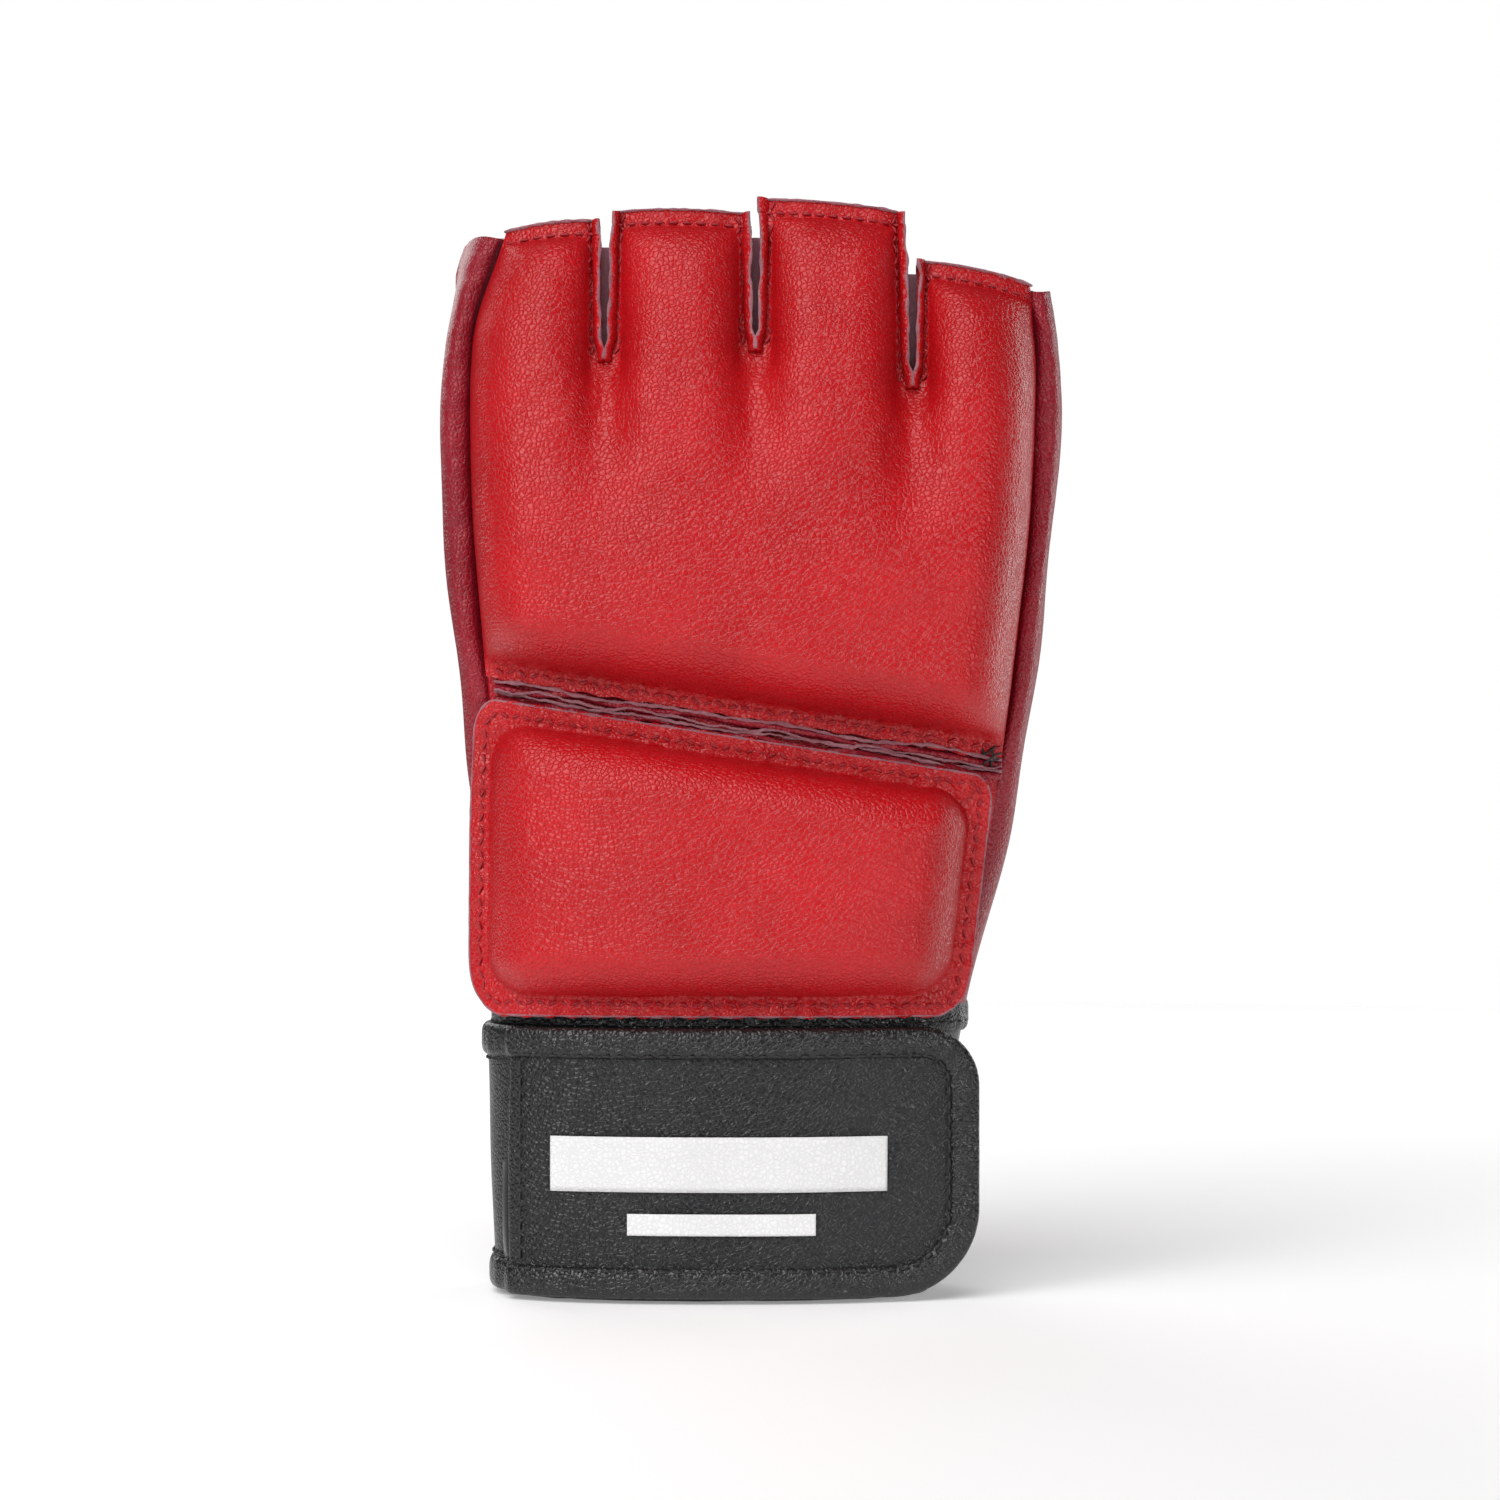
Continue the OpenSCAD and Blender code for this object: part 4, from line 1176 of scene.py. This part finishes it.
def make_finger_edges():
    """Raised leather strips along the slits, and the cut rims and thread of slits and lobe ends."""
    strips, rims, seams = [], [], []
    for k, side, z in slit_edges(1.5, .4):
        base, n = on_surface(cover_point, SLIT_X[k] + side * (slit_half(k, z) + .9), z, .4)
        n = unit(n + np.array([-.6 * side, 0, 0]))
        swell = 1 + .12 * ripple(z, 0, 120 + k, 4)
        strips.append(sweep(base + n * .5, n, .62, 1.25 * swell, 10, 2.6))
        thin = .27 * (1 + .45 * ripple(z, 0, 124 + k + side, 1.7))
        rims.append(sweep(base + n * 1.6 * swell[:, None], n, thin, .3, 8, 3))
    piece("slit_flanges", join(strips), "pad", blend=CURL_BLEND)
    for n in range(4):
        u = np.linspace(0, 1, 120)
        z = finger_top(n, u)
        x = lobe_x(n, u, z)
        seams.append(stitches(*on_surface(cover_point, x, z - 2.6, .15), 2.7))
        points, out = on_surface(cover_point, x, z - .3, .2)
        thin = .24 * (1 + .4 * ripple(x, 0, 134 + n, 1.7))
        rims.append(sweep(points + np.array([0, .2, .45]), out, thin, .5, 8, 3))
    for k, side, z in slit_edges(0, 0):
        line = on_surface(cover_point, SLIT_X[k] + side * (slit_half(k, z) + 2.3), z, .2)
        seams.append(stitches(*line, 2.3, radius=.28, zigzag=.5))
    piece("finger_stitches", join(seams), "red_thread", blend=CURL_BLEND)
    piece("finger_raw_edges", join(rims), "raw", blend=CURL_BLEND)


def palm_near(plan):
    """Points and outward directions on the finished palm sheet nearest to each x and z of the plan."""
    mesh = bpy.data.objects["palm_leather"].data
    at, up = np.empty(len(mesh.vertices) * 3), np.empty(len(mesh.vertices) * 3)
    mesh.vertices.foreach_get("co", at)
    mesh.vertices.foreach_get("normal", up)
    at, up = at.reshape(-1, 3) / MM - TO_ORIGIN, up.reshape(-1, 3)
    front = at[:, 1] > 6
    at, up = at[front], up[front]
    pick = [int(np.argmin((at[:, 0] - x) ** 2 + (at[:, 2] - z) ** 2)) for x, z in plan]
    n = up[pick] * np.sign(up[pick][:, 1:2])
    p = at[pick] + n * .12
    p[:, [0, 2]] = plan
    return p, n


def make_palm_stitches():
    parts = [stitches(*palm_lift(oval_path(grow, 300), 1.75), 2.9, radius=.27, closed=True)
             for grow in (2.4, THUMB_RING_W - 2.4)]
    for grow in (2.2, 5.2):
        plan = palm_opening_path(grow, 60)
        past_ring, _ = polygon_distance(plan, oval_path(THUMB_RING_W + .8, 200))
        past_hole, _ = polygon_distance(plan, clean_palm_outline())
        plan = plan[(past_ring > 0) & (past_hole > 1)]
        start = int(np.argmax(np.linalg.norm(np.diff(plan, axis=0), axis=1)))
        parts.append(stitches(*palm_lift(np.roll(plan, -(start + 1), axis=0), .2), 2.9, radius=.27))
    piece("palm_stitches", join(parts), "red_thread")
    parts = [stitches(*palm_near(vent_outline(x, z, 2.4)), 2.0, radius=.24, closed=True) for x, z in VENTS]
    piece("pleat_vent_stitches", join(parts), "red_thread", blend=CURL_BLEND)


def make_cuff_stitches():
    strap_turn = np.linspace(29, 213, 260)
    cuff_turn = np.linspace(CUFF_TURNS[0] + 1, CUFF_TURNS[1] - 1, 420)
    lines = [skin_path(STRAP_Z + 7.4, strap_turn, 2.45), skin_path(STRAP_Z + STRAP_W - 7.4, strap_turn, 2.45),
             skin_path(CUFF_H - 4.6, cuff_turn, 1.1)]
    piece("cuff_stitches", join([stitches(*line, 2.9, radius=.28) for line in lines]), "black_thread")


# ---- Stage, light and camera ----
FLOOR_R = 1.0
FLOOR_SIDES = 128
PHOTO_FRAME_H = .300


def make_stage():
    """Pale round floor, and a world that is white to the camera and lights the glove only a little."""
    rim = [(FLOOR_R * cos(a), FLOOR_R * sin(a), 0) for a in full_turn(FLOOR_SIDES)]
    mesh = bpy.data.meshes.new("floor")
    mesh.from_pydata(rim, [], [tuple(range(FLOOR_SIDES))])
    material, tree, _ = new_material("pale_floor")
    shade(tree, Base_Color=(.86, .86, .86, 1), Roughness=.6, Emission_Color=(1, 1, 1, 1),
          Emission_Strength=.24)
    mesh.materials.append(material)
    add_object("floor", mesh)
    world = bpy.data.worlds.new("studio")
    bpy.context.scene.world = world
    world.use_nodes = True
    tree = world.node_tree
    colour, strength = tree.nodes["Background"].inputs[:2]
    colour.default_value = (1, 1, 1, 1)
    seen = node(tree, "LightPath").outputs["Is Camera Ray"]
    tree.links.new(calc(tree, "MULTIPLY_ADD", seen, .92, .08), strength)


def make_light(name, kind, at, aim, power):
    light = bpy.data.lights.new(name, kind)
    light.energy = power
    obj = add_object(name, light)
    obj.location = at
    obj.rotation_mode = "QUATERNION"
    obj.rotation_quaternion = (Vector(aim) - Vector(at)).to_track_quat("-Z", "Y")
    return light


def area_light(name, at, size, power):
    """A rectangular soft light turned towards the glove's middle."""
    light = make_light(name, "AREA", at, (0, 0, .12), power)
    light.shape = "RECTANGLE"
    light.size, light.size_y = size


def make_camera():
    """Square on to the back of the hand, as in a flat product view."""
    camera = bpy.data.cameras.new("camera")
    camera.lens = 100
    camera.sensor_width = 36
    obj = add_object("camera", camera)
    middle = (cad_low + cad_high) / 2
    distance = PHOTO_FRAME_H * camera.lens / camera.sensor_width
    obj.location = (middle.x, cad_low.y - distance, middle.z)
    obj.rotation_euler = (radians(90), 0, 0)
    bpy.context.scene.camera = obj
    bpy.context.scene.view_settings.view_transform = "Standard"


make_stage()
# Even soft light, the same all over the floor
sky_panel = make_light("sky_panel", "SUN", (-.35, -.75, 1.0), (0, 0, 0), 2.2)
sky_panel.angle = .9
area_light("key", (-.68, -.9, .5), (.35, .5), 4.3)
area_light("fill", (.78, -.85, .12), (.25, .5), 3.3)
area_light("rear", (-.45, .95, .65), (.7, .7), 3.8)
area_light("rear_fill", (.8, .75, .35), (.5, .8), 3.5)
make_camera()

make_knuckle_pad()
make_wrist_pad()
make_side("index_side_panel", 0, ["index_gusset", "index_piping"])
make_side("little_side_panel", 3, ["little_gusset", "little_piping"])
make_side_seams()
make_palm()
make_thumb_ring()
make_inside()
make_cuff()
make_strap_run()
make_flap()
make_vent()
make_seam_layers()
make_back_rims()
make_finger_edges()
make_palm_stitches()
make_cuff_stitches()
